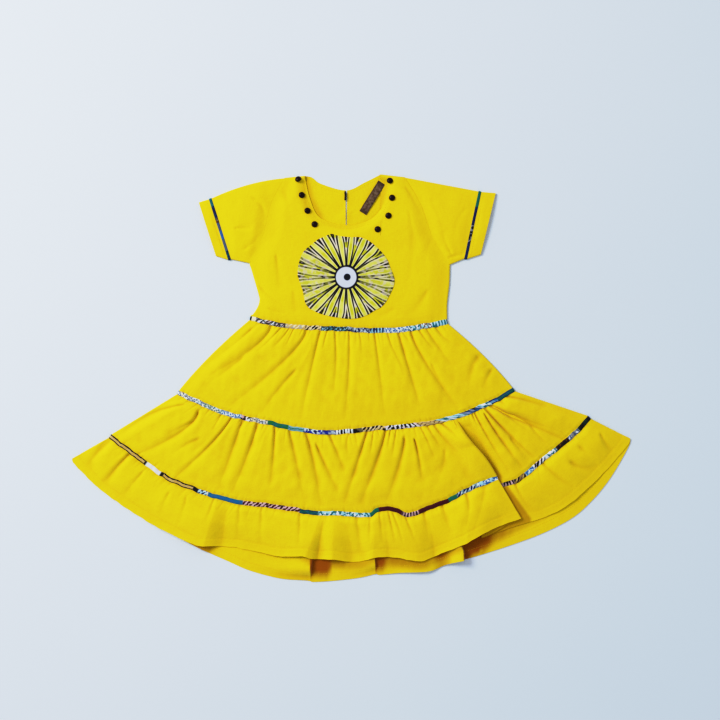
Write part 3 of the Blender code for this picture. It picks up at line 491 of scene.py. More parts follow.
TIER_3_CREASES = [Crease(*row) for row in (
    (-337, -84, -358, -108, -378, -136, 3.6, 8), (-307, -103, -332, -130, -352, -156, 3.6, 6),
    (-191, -166, -196, -182, -202, -200, 1.4, 3.2), (7, -193, 11, -221, 14, -262, 1.6, 6.5),
    (52, -186, 57, -208, 63, -230, 2, 2.8), (58, -188, 66, -208, 74, -232, 1.8, 2.8),
    (76, -194, 82, -208, 93, -232, 2, 3), (187, -142, 181, -178, 166, -226, 4.8, 20.9),
    (228, -145, 238, -166, 252, -190, 3.2, 3.7), (306, -116, 322, -124, 346, -122, 2.6, 9.9),
    (318, -95, 326, -102, 338, -112, 1.6, 6.6), (-156, -175, -157, -198, -160, -228, 1.3, 4.5),
    (-125, -179, -126, -204, -128, -236, 1.3, 4.5), (-254, -159, -259, -170, -267, -190, 1.3, 5),
    (124, -170, 130, -187, 139, -218, 2.9, 6.6), (-72, -188, -72, -210, -74, -236, 1.4, 4),
    (100, -184, 104, -200, 108, -230, 2.2, 6.6), (-290, -130, -304, -146, -318, -164, 1.3, 5),
    (-230, -165, -234, -184, -240, -204, 1.1, 5), (160, -160, 164, -184, 158, -208, 2.6, 6.6),
    (39, -186, 42, -210, 44, -232, 1.4, 3.6), (26, -193, 26, -212, 26, -230, 1.3, 3.4),
    (265, -115, 288, -138, 312, -152, 2.2, 6.6), (348, -78, 356, -92, 366, -104, 2.2, 5.5),
)]  # fmt: skip
BODICE_CREASES = [Crease(*row) for row in (
    (106, 122, 93, 102, 78, 82, 1.1, 9), (80, 234, 85, 180, 73, 108, 0.6, 6.5),
    (-105, 171, -102, 149, -100, 118, 1.2, 6), (-81, 121, -80, 108, -79, 90, 0.9, 5),
    (76, 266, 88, 248, 99, 226, 1, 5), (-96, 262, -88, 240, -84, 205, 0.5, 6),
    (-60, 96, -10, 92, 40, 95, 0.4, 8), (112, 195, 104, 170, 104, 140, 0.4, 8),
    (-128, 128, -112, 112, -92, 98, 0.9, 5), (8, 205, 12, 196, 20, 190, 0.4, 5),
    (-116, 98, -104, 93, -88, 92, 0.8, 4), (60, 98, 50, 92, 40, 88, 0.6, 5),
)]  # fmt: skip
LEFT_SLEEVE_CREASES = [Crease(*row) for row in (
    (-138, 251, -123, 238, -118, 214, 1.7, 4.6), (-162, 209, -150, 209, -138, 211, 1.3, 4),
    (-150, 180, -136, 190, -128, 204, 0.8, 6),
)]  # fmt: skip
RIGHT_SLEEVE_CREASES = [Crease(*row) for row in (
    (112, 250, 122, 226, 130, 196, 0.6, 6), (140, 176, 132, 190, 128, 206, 1.4, 5.5),
    (160, 236, 150, 222, 146, 200, 0.6, 6), (136, 168, 150, 171, 164, 172, 1.4, 4),
)]  # fmt: skip


# --- meshes ---


def shell_mesh(
    name: str,
    middle: Array,
    wall: Array | float,
    cloth_place: Array,
    wrap: bool = False,
    keep: Optional[Array] = None,
) -> bpy.types.Mesh:
    """A thin closed shell round a grid of points.

    Both faces are the grid moved half a wall along its normals, which are the cross product of its
    two directions. A rim of one face joins them wherever a kept cell has no neighbour.

    Args:
        name: Name of the mesh.
        middle: Points of the middle surface, columns by rows, in millimetres.
        wall: Thickness, one number or one for each point.
        cloth_place: Place of each point in the flat cloth, in millimetres. A wrapped grid has one
            column more of them than it has of points.
        wrap: The last column joins the first.
        keep: False for the cells left out.

    Returns:
        The mesh, in metres.
    """
    columns, rows = middle.shape[:2]
    if wrap:
        around = np.roll(middle, -1, axis=0) - np.roll(middle, 1, axis=0)
    else:
        around = np.gradient(middle, axis=0)
    normal = np.cross(around, np.gradient(middle, axis=1))
    normal /= np.maximum(np.linalg.norm(normal, axis=-1, keepdims=True), 1e-9)
    half = np.broadcast_to(np.asarray(wall, float) / 2, middle.shape[:2])[..., None]
    points = np.stack([middle + normal * half, middle - normal * half]).reshape(-1, 3)
    cells = columns if wrap else columns - 1
    keep = np.ones((cells, rows - 1), bool) if keep is None else keep
    i, j = np.meshgrid(np.arange(cells), np.arange(rows - 1), indexing="ij")
    corners = {(a, b): (i + a, j + b) for a in (0, 1) for b in (0, 1)}
    order = [(0, 0), (1, 0), (1, 1), (0, 1)]
    blocks = []
    for layer, path in ((0, order), (1, order[::-1])):
        blocks.append((keep, [(corners[corner], layer) for corner in path]))
    beside = np.pad(keep, 1)
    if wrap:
        beside[0, 1:-1], beside[-1, 1:-1] = keep[-1], keep[0]
    sides = (
        (beside[:-2, 1:-1], (0, 0), (0, 1)),
        (beside[2:, 1:-1], (1, 1), (1, 0)),
        (beside[1:-1, :-2], (1, 0), (0, 0)),
        (beside[1:-1, 2:], (0, 1), (1, 1)),
    )
    for neighbour, start, end in sides:
        bare = keep & ~neighbour
        first, last = corners[start], corners[end]
        blocks.append((bare, [(first, 0), (last, 0), (last, 1), (first, 1)]))
    loops, places = [], []
    for chosen, path in blocks:
        index = [((i[chosen] % columns) + layer * columns) * rows + j[chosen] for (i, j), layer in path]
        loops.append(np.stack(index, axis=-1).reshape(-1))
        where = [cloth_place[i[chosen], j[chosen]] for (i, j), _ in path]
        places.append(np.stack(where, axis=1).reshape(-1, 2))
    return quads_mesh(name, points, np.concatenate(loops), np.concatenate(places))


def quads_mesh(name: str, points: Array, loops: Array, cloth_place: Optional[Array] = None) -> bpy.types.Mesh:
    """A mesh of four-sided faces, without the points that none of them uses.

    Args:
        name: Name of the mesh.
        points: Points in millimetres.
        loops: Point numbers, four for each face.
        cloth_place: Place in the flat cloth for each entry of loops, in millimetres.

    Returns:
        The mesh, in metres, shaded smooth but for its rims.
    """
    used, loops = np.unique(loops, return_inverse=True)
    loops = loops.reshape(-1)
    mesh = bpy.data.meshes.new(name)
    mesh.vertices.add(len(used))
    mesh.vertices.foreach_set("co", (points[used] * MM).astype(np.float32).reshape(-1))
    mesh.loops.add(len(loops))
    mesh.loops.foreach_set("vertex_index", loops.astype(np.int32))
    faces = len(loops) // 4
    mesh.polygons.add(faces)
    mesh.polygons.foreach_set("loop_start", np.arange(0, 4 * faces, 4, dtype=np.int32))
    mesh.update(calc_edges=True)
    if cloth_place is not None:
        layer = mesh.uv_layers.new(name="cloth")
        layer.data.foreach_set("uv", (cloth_place * MM).astype(np.float32).reshape(-1))
    mesh.shade_smooth()
    mesh.set_sharp_from_angle(angle=math.radians(50))
    mesh.validate()
    return mesh


def paint(mesh: bpy.types.Mesh, name: str, colours: Array) -> None:
    """Stores a colour for each point of a shell under a name; both of its faces take the same ones."""
    layer = mesh.color_attributes.new(name, "FLOAT_COLOR", "POINT")
    layer.data.foreach_set("color", colours.astype(np.float32).reshape(-1))


def paint_fold_shade(mesh: bpy.types.Mesh, height: Array, added_shade: Array | float = 0.0) -> None:
    """Stores painted shade for each point of a shell: how deep in a fold it lies, which darkens and oranges
    its colour as shade and light off the same cloth would.

    Args:
        mesh: The shell.
        height: Height of each point of its grid.
        added_shade: Added depth of painted shade where other cloth hangs over it or stands close beside it.
    """
    depth = (hollows(height) + added_shade).reshape(-1, 1)
    # Two shares of painted shade: a light one for shallow folds, and a deep one for deep folds and openings.
    light, deep = np.clip(depth / 1.1, 0, 1), np.clip((depth - 1.1) / 3.5, 0, 1)
    shares = np.concatenate([light, deep, 0 * depth, 0 * depth + 1], axis=1)
    paint(mesh, "painted_fold_shade", np.concatenate([shares, shares]))


def cloth_places(middle: Array, wrap: bool = False) -> Array:
    """Places in the flat cloth: mean lengths run along the grid's two directions.

    Args:
        middle: Points of the grid.
        wrap: The last column joins the first.

    Returns:
        The place of each point, in millimetres.
    """
    whole = np.concatenate([middle, middle[:1]]) if wrap else middle
    across = np.linalg.norm(np.diff(whole, axis=0), axis=-1).mean(axis=1)
    down = np.linalg.norm(np.diff(whole, axis=1), axis=-1).mean(axis=0)
    u = np.concatenate([[0.0], np.cumsum(across)])
    v = np.concatenate([[0.0], np.cumsum(down)])
    return np.stack(np.meshgrid(u, v, indexing="ij"), axis=-1)


def square_to(run: Array) -> tuple[Array, Array]:
    """Unit directions to the side of near level unit ones, and up from them."""
    side = unit(np.cross(run, np.array([0.0, 0.0, 1.0])))
    return side, np.cross(side, run)


def circle(turns: Array, right: Array, ahead: Array) -> Array:
    """Places on a circle one wide from its middle, at turns from one direction to another."""
    return np.cos(turns)[..., None] * right + np.sin(turns)[..., None] * ahead


def ring_loops(rings: int, sides: int, inside_out: bool = False) -> Array:
    """Numbers of the points of the faces between rings.

    Args:
        rings: How many rings.
        sides: Points on each.
        inside_out: Runs round the faces the other way.

    Returns:
        Point numbers, four for each face.
    """
    i, j = np.meshgrid(np.arange(rings - 1), np.arange(sides), indexing="ij")
    k = (j + 1) % sides
    first, *others = i * sides + j, i * sides + k, (i + 1) * sides + k, (i + 1) * sides + j
    return np.stack([first, *(others[::-1] if inside_out else others)], axis=-1).reshape(-1)


def tube_mesh(name: str, path: Array, radii: Array, twist: Array, sides: int) -> bpy.types.Mesh:
    """A closed tube along a path that stays near level; each ring lies square to the path.

    Args:
        name: Name of the mesh.
        path: Points down its middle, in millimetres.
        radii: Radius for each ring and side.
        twist: Turn of each ring in radians.
        sides: Number of points round it.

    Returns:
        The mesh, in metres.
    """
    side, up = square_to(unit(np.gradient(path, axis=0)))
    turns = np.linspace(0, math.tau, sides, endpoint=False) + twist[:, None]
    rings = path[:, None] + radii[..., None] * circle(turns, side[:, None], up[:, None])
    points = np.concatenate([path[:1, None] + 0 * rings[:1], rings, path[-1:, None] + 0 * rings[-1:]])
    return quads_mesh(name, points.reshape(-1, 3), ring_loops(len(points), sides))


def stitch_mesh(name: str, runs: Sequence[Array], length: float, gap: float, radius: float) -> bpy.types.Mesh:
    """Short thread stitches laid along runs of points, each a spindle of three four-sided rings.

    Args:
        name: Name of the mesh.
        runs: Paths that the stitches follow, on the cloth's face, in millimetres.
        length: Length of one stitch.
        gap: Space between two of them.
        radius: Radius in the middle of a stitch.

    Returns:
        The joined mesh, in metres.
    """
    starts, ends = [], []
    for run in runs:
        steps = np.linalg.norm(np.diff(run, axis=0), axis=1)
        along = np.concatenate([[0.0], np.cumsum(steps)])
        first = np.arange(0.0, along[-1] - length, length + gap)
        for shift, store in ((0.0, starts), (length, ends)):
            store.append(np.stack([np.interp(first + shift, along, run[:, k]) for k in range(3)], axis=-1))
    start, end = np.concatenate(starts), np.concatenate(ends)
    side, up = square_to(unit(end - start))
    share = np.array([0.0, 0.5, 1.0])[None, :, None, None]
    size = radius * np.array([0.45, 1.0, 0.45])[None, :, None, None]
    rise = radius * np.array([-0.4, 0.7, -0.4])[None, :, None, None]
    ring = circle(np.array([0.0, 0.5, 1.0, 1.5]) * math.pi, side[:, None], up[:, None])
    centre = start[:, None, None] * (1 - share) + end[:, None, None] * share
    points = centre + ring[:, None] * size + up[:, None, None] * rise
    shape = [[0, 1, 2, 3], [11, 10, 9, 8]]
    for level in (0, 4):
        shape += [[level + k, level + 4 + k, level + 4 + (k + 1) % 4, level + (k + 1) % 4] for k in range(4)]
    loops = (np.arange(len(start))[:, None, None] * 12 + np.array(shape)).reshape(-1)
    return quads_mesh(name, points.reshape(-1, 3), loops)


# --- finishes ---


def linear(red: float, green: float, blue: float) -> tuple[float, float, float, float]:
    """A screen colour from 0 to 255 as the linear one that a shader takes."""
    values = np.array([red, green, blue]) / 255.0
    curve = np.where(values <= 0.04045, values / 12.92, ((values + 0.055) / 1.055) ** 2.4)
    return (*(float(value) for value in curve), 1.0)


class Ink(enum.Enum):
    """Colours of the printed strips."""

    CREAM = linear(236, 226, 196)
    WHITE = linear(226, 232, 240)
    SKY = linear(168, 214, 234)
    PALE = linear(204, 220, 230)
    BLUE = linear(52, 110, 176)
    SLATE = linear(92, 104, 128)
    OCEAN = linear(18, 112, 176)
    ROYAL = linear(34, 50, 172)
    SAND = linear(210, 184, 122)
    TEAL = linear(30, 116, 128)
    LEAF = linear(38, 122, 62)
    GREEN = linear(24, 112, 92)
    NAVY = linear(22, 34, 92)
    BLACK = linear(18, 14, 18)
    MAROON = linear(84, 14, 30)
    PINK = linear(216, 182, 186)
    BROWN = linear(104, 60, 22)
    GOLD = linear(196, 152, 24)
    GREY = linear(140, 142, 146)


class Motif(enum.Enum):
    """Ways in which a stretch of the strip is printed: weights of its seven kinds of mark.

    In order: slanting slashes, lines across, dark lines along both edges, blots, spatter, broad
    patches of the accent and fine wavy lines.
    """

    PLAIN = (0, 0, 0, 0, 0, 0.25, 0)
    OUTLINED = (0, 0, 1, 0, 0, 0.4, 0)
    SLASHES = (1, 0, 0, 0, 0, 0.6, 0)
    COMB = (0, 1, 0, 0, 0, 0.4, 0)
    BLOTS = (0, 0, 0, 1, 0, 1, 0)
    BRUSHED = (0.9, 0, 0, 0.9, 0, 0.8, 0)
    SPATTER = (0, 0, 0, 0.6, 1, 1, 0)
    WAVY = (0, 0, 0, 0, 0, 0.3, 1)
    SOLID = (0, 0, 0, 0, 0, 0.15, 0)
    DABBED = (0.5, 0, 0, 1, 0, 0.5, 0)
    EDGED = (0, 0, 0.6, 0, 0, 1, 0.7)


class Stretch(NamedTuple):
    """A stretch of printed strip up to a place along it."""

    end: float
    motif: Motif
    ground: Ink
    ink: Ink
    accent: Ink


def printed(*rows: tuple[float, str]) -> list[Stretch]:
    """The stretches of a strip.

    Args:
        rows: The end of each, and the names of its motif, ground, ink and accent.

    Returns:
        The stretches in order.
    """
    words = [(end, *names.split()) for end, names in rows]
    return [Stretch(end, Motif[motif], *(Ink[ink] for ink in inks)) for end, motif, *inks in words]


WAIST_PRINT = printed(
    (-139, "SOLID BLACK BLACK GREY"), (-133, "PLAIN CREAM BLACK WHITE"), (-92, "BRUSHED WHITE BLACK PINK"),
    (-64, "SLASHES CREAM SAND GREY"), (-42, "SLASHES CREAM BLACK SAND"), (-4, "BRUSHED SKY BLACK TEAL"),
    (26, "DABBED PALE NAVY BLACK"), (46, "COMB SKY NAVY TEAL"), (80, "SPATTER PALE BLUE WHITE"),
    (96, "BLOTS SKY TEAL WHITE"), (113, "SPATTER WHITE BROWN SKY"), (140, "COMB SKY TEAL PALE"),
)  # fmt: skip
MIDDLE_PRINT = printed(
    (-222, "SPATTER WHITE SLATE CREAM"), (-206, "SPATTER PALE SLATE WHITE"),
    (-180, "SPATTER WHITE TEAL CREAM"), (-154, "SPATTER PALE BLUE WHITE"), (-140, "BLOTS WHITE BLACK PINK"),
    (-117, "SPATTER WHITE SLATE CREAM"), (-88, "EDGED LEAF GREEN TEAL"), (-66, "EDGED TEAL SKY GREEN"),
    (-40, "BLOTS NAVY PALE ROYAL"), (-21, "EDGED ROYAL NAVY PALE"), (3, "COMB WHITE BLACK PALE"),
    (15, "SOLID BLACK BLACK CREAM"), (48, "SLASHES SAND BLACK CREAM"), (94, "SLASHES WHITE BLACK PINK"),
    (124, "WAVY SAND BROWN CREAM"), (158, "BLOTS SKY TEAL WHITE"), (180, "COMB BLUE BLACK WHITE"),
    (194, "BLOTS WHITE TEAL SKY"), (204, "OUTLINED BLUE NAVY SKY"), (240, "EDGED TEAL NAVY GREEN"),
)  # fmt: skip
LOW_PRINT = printed(
    (-289, "OUTLINED SAND BLACK GOLD"), (-286, "SOLID BLACK BLACK BLACK"), (-266, "PLAIN WHITE BLACK PINK"),
    (-262, "SOLID BLACK BLACK BLACK"), (-221, "OUTLINED SAND BLACK GOLD"), (-214, "SOLID BLACK BLACK NAVY"),
    (-202, "SLASHES SKY NAVY WHITE"), (-200, "SOLID CREAM BLACK CREAM"), (-151, "EDGED OCEAN TEAL BLUE"),
    (-72, "SLASHES MAROON PINK BLACK"), (-46, "EDGED GREEN NAVY TEAL"), (26, "BLOTS SKY TEAL WHITE"),
    (38, "SOLID GREEN BLACK TEAL"), (71, "SOLID MAROON BLACK BLACK"), (94, "COMB PINK BLACK MAROON"),
    (136, "SOLID MAROON BLACK BLACK"), (148, "EDGED LEAF GREEN TEAL"), (178, "SLASHES PALE NAVY TEAL"),
    (210, "BLOTS WHITE BLUE SKY"),
)  # fmt: skip
LOW_RIGHT_PRINT = printed(
    (229, "COMB PINK BLACK BLACK"), (243, "SLASHES SAND BLACK BROWN"), (255, "BLOTS WHITE BLUE SKY"),
    (271, "SLASHES WHITE BLACK PINK"), (287, "BLOTS PALE TEAL WHITE"), (304, "BRUSHED BROWN BLACK BLACK"),
    (318, "BLOTS WHITE SLATE GREY"), (340, "SOLID BLACK BLACK GREEN"),
)  # fmt: skip
LEFT_SLEEVE_PRINT = printed(
    (178, "SLASHES GREEN NAVY BLACK"), (194, "SOLID SLATE NAVY TEAL"), (206, "SOLID BLUE NAVY BLUE"),
    (217, "SOLID SLATE NAVY NAVY"), (224, "BLOTS GREY BROWN BLACK"), (240, "SOLID NAVY BLACK TEAL"),
    (260, "SOLID TEAL NAVY BLACK"),
)  # fmt: skip
RIGHT_SLEEVE_PRINT = printed(
    (190, "SOLID NAVY NAVY TEAL"), (214, "BLOTS BLACK GREY BLACK"), (240, "SOLID NAVY BLACK BLACK"),
    (270, "SOLID GREEN BLACK TEAL"),
)  # fmt: skip


class Value:
    """What a shader node gives; sums written with signs go on from it."""

    def __init__(self, graph: "Graph", socket: bpy.types.NodeSocket) -> None:
        """Keeps the socket, and the graph in which the next nodes are made."""
        self.graph = graph
        self.socket = socket

    def __add__(self, other: "Value | float") -> "Value":
        """This and the other."""
        return self.graph.math("ADD", self, other)

    def __sub__(self, other: "Value | float") -> "Value":
        """This less the other."""
        return self.graph.math("SUBTRACT", self, other)

    def __rsub__(self, other: float) -> "Value":
        """The other less this."""
        return self.graph.math("SUBTRACT", other, self)

    def __mul__(self, other: "Value | float") -> "Value":
        """This times the other."""
        return self.graph.math("MULTIPLY", self, other)

    def __abs__(self) -> "Value":
        """This without its sign."""
        return self.graph.math("ABSOLUTE", self)


class Graph:
    """Short hand for making and joining the shader nodes of a material or a group."""

    def __init__(self, tree: bpy.types.NodeTree) -> None:
        """Works in the tree."""
        self.tree = tree

    def add(self, kind: str, inputs: dict, **settings: object) -> bpy.types.Node:
        """Makes a node.

        Args:
            kind: Blender's name for its type.
            inputs: What goes into its inputs, by name or number.
            settings: Its own options.

        Returns:
            The node.
        """
        node = self.tree.nodes.new(kind)
        for name, value in settings.items():
            setattr(node, name, value)
        for name, value in inputs.items():
            if isinstance(value, Value):
                self.join(value, node.inputs[name])
            else:
                node.inputs[name].default_value = value
        return node

    def join(self, value: Optional[Value], socket: bpy.types.NodeSocket) -> None:
        """Leads a value into a socket, if there is a value."""
        if value is not None:
            self.tree.links.new(value.socket, socket)

    def give(self, output: int | str, kind: str, inputs: dict, **settings: object) -> Value:
        """One output of a new node."""
        return Value(self, self.add(kind, inputs, **settings).outputs[output])

    def math(self, operation: str, *values: Value | float) -> Value:
        """The result of a sum on numbers or values."""
        return self.give(0, "ShaderNodeMath", dict(enumerate(values)), operation=operation)

    def above(self, value: Value | float, level: Value | float, softness: float) -> Value:
        """0 well below the level and 1 well above it, with a narrow climb."""
        inputs = {0: self.math("SUBTRACT", value, level), 1: 1.0 / softness, 2: 0.5}
        return self.give(0, "ShaderNodeMath", inputs, operation="MULTIPLY_ADD", use_clamp=True)

    def mix(self, share: Value, first: Value | tuple, second: Value | tuple) -> Value:
        """A colour between two colours."""
        inputs = {0: share, 6: first, 7: second}
        return self.give(2, "ShaderNodeMix", inputs, data_type="RGBA", clamp_factor=True)

    def noise(self, place: Value, size: float, detail: float = 2.0, dimensions: str = "2D") -> Value:
        """Noise from 0 to 1 whose lumps are about a size across, in metres."""
        inputs = {"Vector": place, "Scale": 1.0 / size, "Detail": detail}
        return self.give("Fac", "ShaderNodeTexNoise", inputs, noise_dimensions=dimensions)

    def bump(self, height: Value, distance: float, strength: float, **under: Value) -> Value:
        """A normal tilted by a height, laid over another one if it is given as Normal."""
        inputs = {"Height": height, "Distance": distance, "Strength": strength, **under}
        return self.give(0, "ShaderNodeBump", inputs)

    def length(self, x: Value, y: Value) -> Value:
        """Distance from the middle to a place."""
        return self.math("SQRT", x * x + y * y)

    def cloth(self) -> Value:
        """Place in the flat cloth."""
        return self.give(0, "ShaderNodeUVMap", {}, uv_map="cloth")

    def place(self) -> Value:
        """Place in the piece, in metres."""
        return self.give("Object", "ShaderNodeTexCoord", {})

    def parts(self, place: Value, scale: float = 1000.0) -> list[Value]:
        """X and Y of a place, in thousandths of its unit."""
        node = self.add("ShaderNodeSeparateXYZ", {0: place})
        return [Value(self, node.outputs[axis]) * scale for axis in ("X", "Y")]

    def painted(self, name: str) -> list[Value]:
        """Red, green, blue and alpha of the colour that the points carry under a name."""
        node = self.add("ShaderNodeAttribute", {}, attribute_name=name)
        split = self.add("ShaderNodeSeparateColor", {0: Value(self, node.outputs["Color"])})
        return [Value(self, socket) for socket in (*split.outputs, node.outputs["Alpha"])]

    def group(self, tree: bpy.types.NodeTree, **inputs: Value | float) -> dict[str, Value]:
        """What a shared group gives, by name."""
        node = self.add("ShaderNodeGroup", inputs, node_tree=tree)
        return {socket.name: Value(self, socket) for socket in node.outputs}


def new_group(name: str, takes: dict, gives: Sequence[str]) -> tuple[Graph, dict[str, Value], bpy.types.Node]:
    """An empty shader group.

    Args:
        name: Its name.
        takes: Socket types of its inputs by name.
        gives: Names of its outputs, which are numbers.

    Returns:
        The group's graph, its inputs by name and its output node.
    """
    tree = bpy.data.node_groups.new(name, "ShaderNodeTree")
    for socket, kind in takes.items():
        tree.interface.new_socket(socket, in_out="INPUT", socket_type=kind)
    for socket in gives:
        tree.interface.new_socket(socket, in_out="OUTPUT", socket_type="NodeSocketFloat")
    graph = Graph(tree)
    inside = graph.add("NodeGroupInput", {})
    return graph, {key: Value(graph, inside.outputs[key]) for key in takes}, graph.add("NodeGroupOutput", {})


def weave_group() -> bpy.types.NodeTree:
    """Plain weave on the flat cloth: its height is the product of two sines, with uneven threads.

    Returns:
        A group that takes the cloth's place and the thread's pitch, both in metres.
    """
    takes = {"Place": "NodeSocketVector", "Pitch": "NodeSocketFloat"}
    graph, takes, gives = new_group("plain_weave", takes, ("Height", "Thread"))
    turns = (graph.math("DIVIDE", part, takes["Pitch"]) for part in graph.parts(takes["Place"], 1.0))
    across, along = (graph.math("SINE", turn * math.pi) for turn in turns)
    streaks = []
    for stretch in ((0.08, 1.0, 1.0), (1.0, 0.08, 1.0)):
        place = graph.give(0, "ShaderNodeVectorMath", {0: takes["Place"], 1: stretch}, operation="MULTIPLY")
        streaks.append(graph.noise(place, 0.0009, 1.0))
    thread = (streaks[0] + streaks[1]) * 0.5
    graph.join(across * along * 0.5 + 0.5 + thread, gives.inputs["Height"])
    graph.join(thread, gives.inputs["Thread"])
    return graph.tree


def crumple_group() -> bpy.types.NodeTree:
    """The slight unevenness of washed cotton: two sizes of noise added up, and broad fading."""
    graph, takes, gives = new_group("soft_crumple", {"Place": "NodeSocketVector"}, ("Height", "Fading"))
    place = takes["Place"]
    height = graph.noise(place, 0.022, 3.0, "3D") + graph.noise(place, 0.007, 2.0, "3D")
    graph.join(height, gives.inputs["Height"])
    graph.join(graph.noise(place, 0.09, 2.0, "3D"), gives.inputs["Fading"])
    return graph.tree


@dataclass(frozen=True)
class Groups:
    """The shader groups that several finishes share."""

    weave: bpy.types.NodeTree
    crumple: bpy.types.NodeTree


@dataclass(frozen=True)
class Finish:
    """A surface's slot in the record and the values that its own shader takes."""

    name: str
    slot: str
    roughness: float
    sheen: float = 0.0
    specular: float = 0.3

    def build(self, groups: Groups) -> bpy.types.Material:
        """Makes the material.

        Args:
            groups: The shared groups.

        Returns:
            The material, with its own shader in the colour and relief that the finish works out.
        """
        material = bpy.data.materials.new(self.name)
        material.use_nodes = True
        shader = material.node_tree.nodes["Principled BSDF"]
        shader.inputs["Roughness"].default_value = self.roughness
        shader.inputs["Specular IOR Level"].default_value = self.specular
        shader.inputs["Sheen Weight"].default_value = self.sheen
        graph = Graph(material.node_tree)
        colour, normal = self.surface(graph, groups)
        graph.join(colour, shader.inputs["Base Color"])
        graph.join(normal, shader.inputs["Normal"])
        return material

    def surface(self, graph: Graph, groups: Groups) -> tuple[Value, Optional[Value]]:
        """The colour, and the normal if it has relief. Every kind of finish works out its own."""
        raise NotImplementedError

    def woven(self, graph: Graph, groups: Groups, place: Value, pitch: float = 0.0004, depth: float = 0.00005,
              strength: float = 0.4) -> Value:  # fmt: skip
        """The relief of a plain weave whose thread has that pitch, in metres."""
        return graph.bump(graph.group(groups.weave, Place=place, Pitch=pitch)["Height"], depth, strength)


@dataclass(frozen=True)
class CottonFinish(Finish):
    """Dyed plain-weave cotton with slightly uneven colour, and painted shade in its folds and where other
    cloth overhangs it.
    """

    colour: tuple = (0.90, 0.69, 0.006, 1.0)
    shade: tuple = (0.80, 0.56, 0.006, 1.0)
    fold: tuple = (0.66, 0.42, 0.003, 1.0)  # painted shade colour for folds, darker and oranger, as light bounced off the same cloth would make them
    # painted deep shade colour, for the openings under the hem, beside the pleat's lip and beside the
    # neckline
    deep: tuple = (0.40, 0.115, 0.001, 1.0)
    fold_shade_share: float = 0.5
    deep_shade_share: float = 1.0
    pitch: float = 0.00055

    def surface(self, graph: Graph, groups: Groups) -> tuple[Value, Optional[Value]]:
        """Mixes two yellows by fading and threads, paints shade into the folds and openings, and lays weave
        over crumple.
        """
        weave = graph.group(groups.weave, Place=graph.cloth(), Pitch=self.pitch)
        crumple = graph.group(groups.crumple, Place=graph.place())
        share = graph.above(crumple["Fading"], 0.5, 0.5) * 0.35 + (weave["Thread"] - 0.5) * 0.9
        colour = graph.mix(share, self.colour, self.shade)
        # Painted shade: the two shares of the fold shade attribute darken and orange the yellow.
        light, deep, _, _ = graph.painted("painted_fold_shade")
        colour = graph.mix(light * self.fold_shade_share, colour, self.fold)
        colour = graph.mix(deep * self.deep_shade_share, colour, self.deep)
        soft = graph.bump(crumple["Height"], 0.0008, 0.4)
        return colour, graph.bump(weave["Height"], 0.00007, 0.5, Normal=soft)


@dataclass(frozen=True)
class StripFinish(Finish):
    """Wax-printed cotton of the piping: every mark is worked out along and across the strip."""

    def surface(self, graph: Graph, groups: Groups) -> tuple[Value, Optional[Value]]:
        """Mixes ground, accent and ink by the marks that the strip's weights ask for."""
        cloth = graph.cloth()
        along, across = graph.parts(cloth)
        waver = graph.noise(cloth, 0.004) * 3.0 - 1.5
        level = graph.noise(cloth, 0.007, 1.0) * 4.0 - 1.9
        slant = across * 1.1 + along + waver * 1.5
        slash = graph.above(graph.math("SINE", slant * (math.tau / 6.0)), level, 0.4)
        comb = graph.above(graph.math("SINE", (waver * 0.5 + along) * (math.tau / 4.2)), level, 0.4)
        edge = graph.above(abs(across), waver * 0.5 + 1.5, 0.3)
        blot = graph.above(graph.noise(cloth, 0.0036), 0.53, 0.06)
        cells = {"Vector": cloth, "Scale": 330.0}
        dots = graph.give("Distance", "ShaderNodeTexVoronoi", cells, voronoi_dimensions="2D")
        spatter = graph.above(0.29, dots, 0.1)
        wavy = graph.above(graph.math("SINE", graph.math("SINE", along) * 0.7 + across * 3.2), 0.55, 0.4)
        patch = graph.above(graph.noise(cloth, 0.008, 1.0), 0.5, 0.08)
        slashes, combs, edges, _ = graph.painted("lines")
        blots, spatters, patches, waves = graph.painted("marks")
        inked = slash * slashes
        others = (comb, combs), (edge, edges), (blot, blots), (spatter, spatters), (wavy, waves)
        for shape, weight in others:
            inked = graph.math("MAXIMUM", inked, shape * weight)
        ground, ink, accent = (
            graph.give("Color", "ShaderNodeAttribute", {}, attribute_name=name)
            for name in ("ground", "ink", "accent")
        )
        colour = graph.mix(inked, graph.mix(patch * patches, ground, accent), ink)
        return colour, self.woven(graph, groups, cloth)


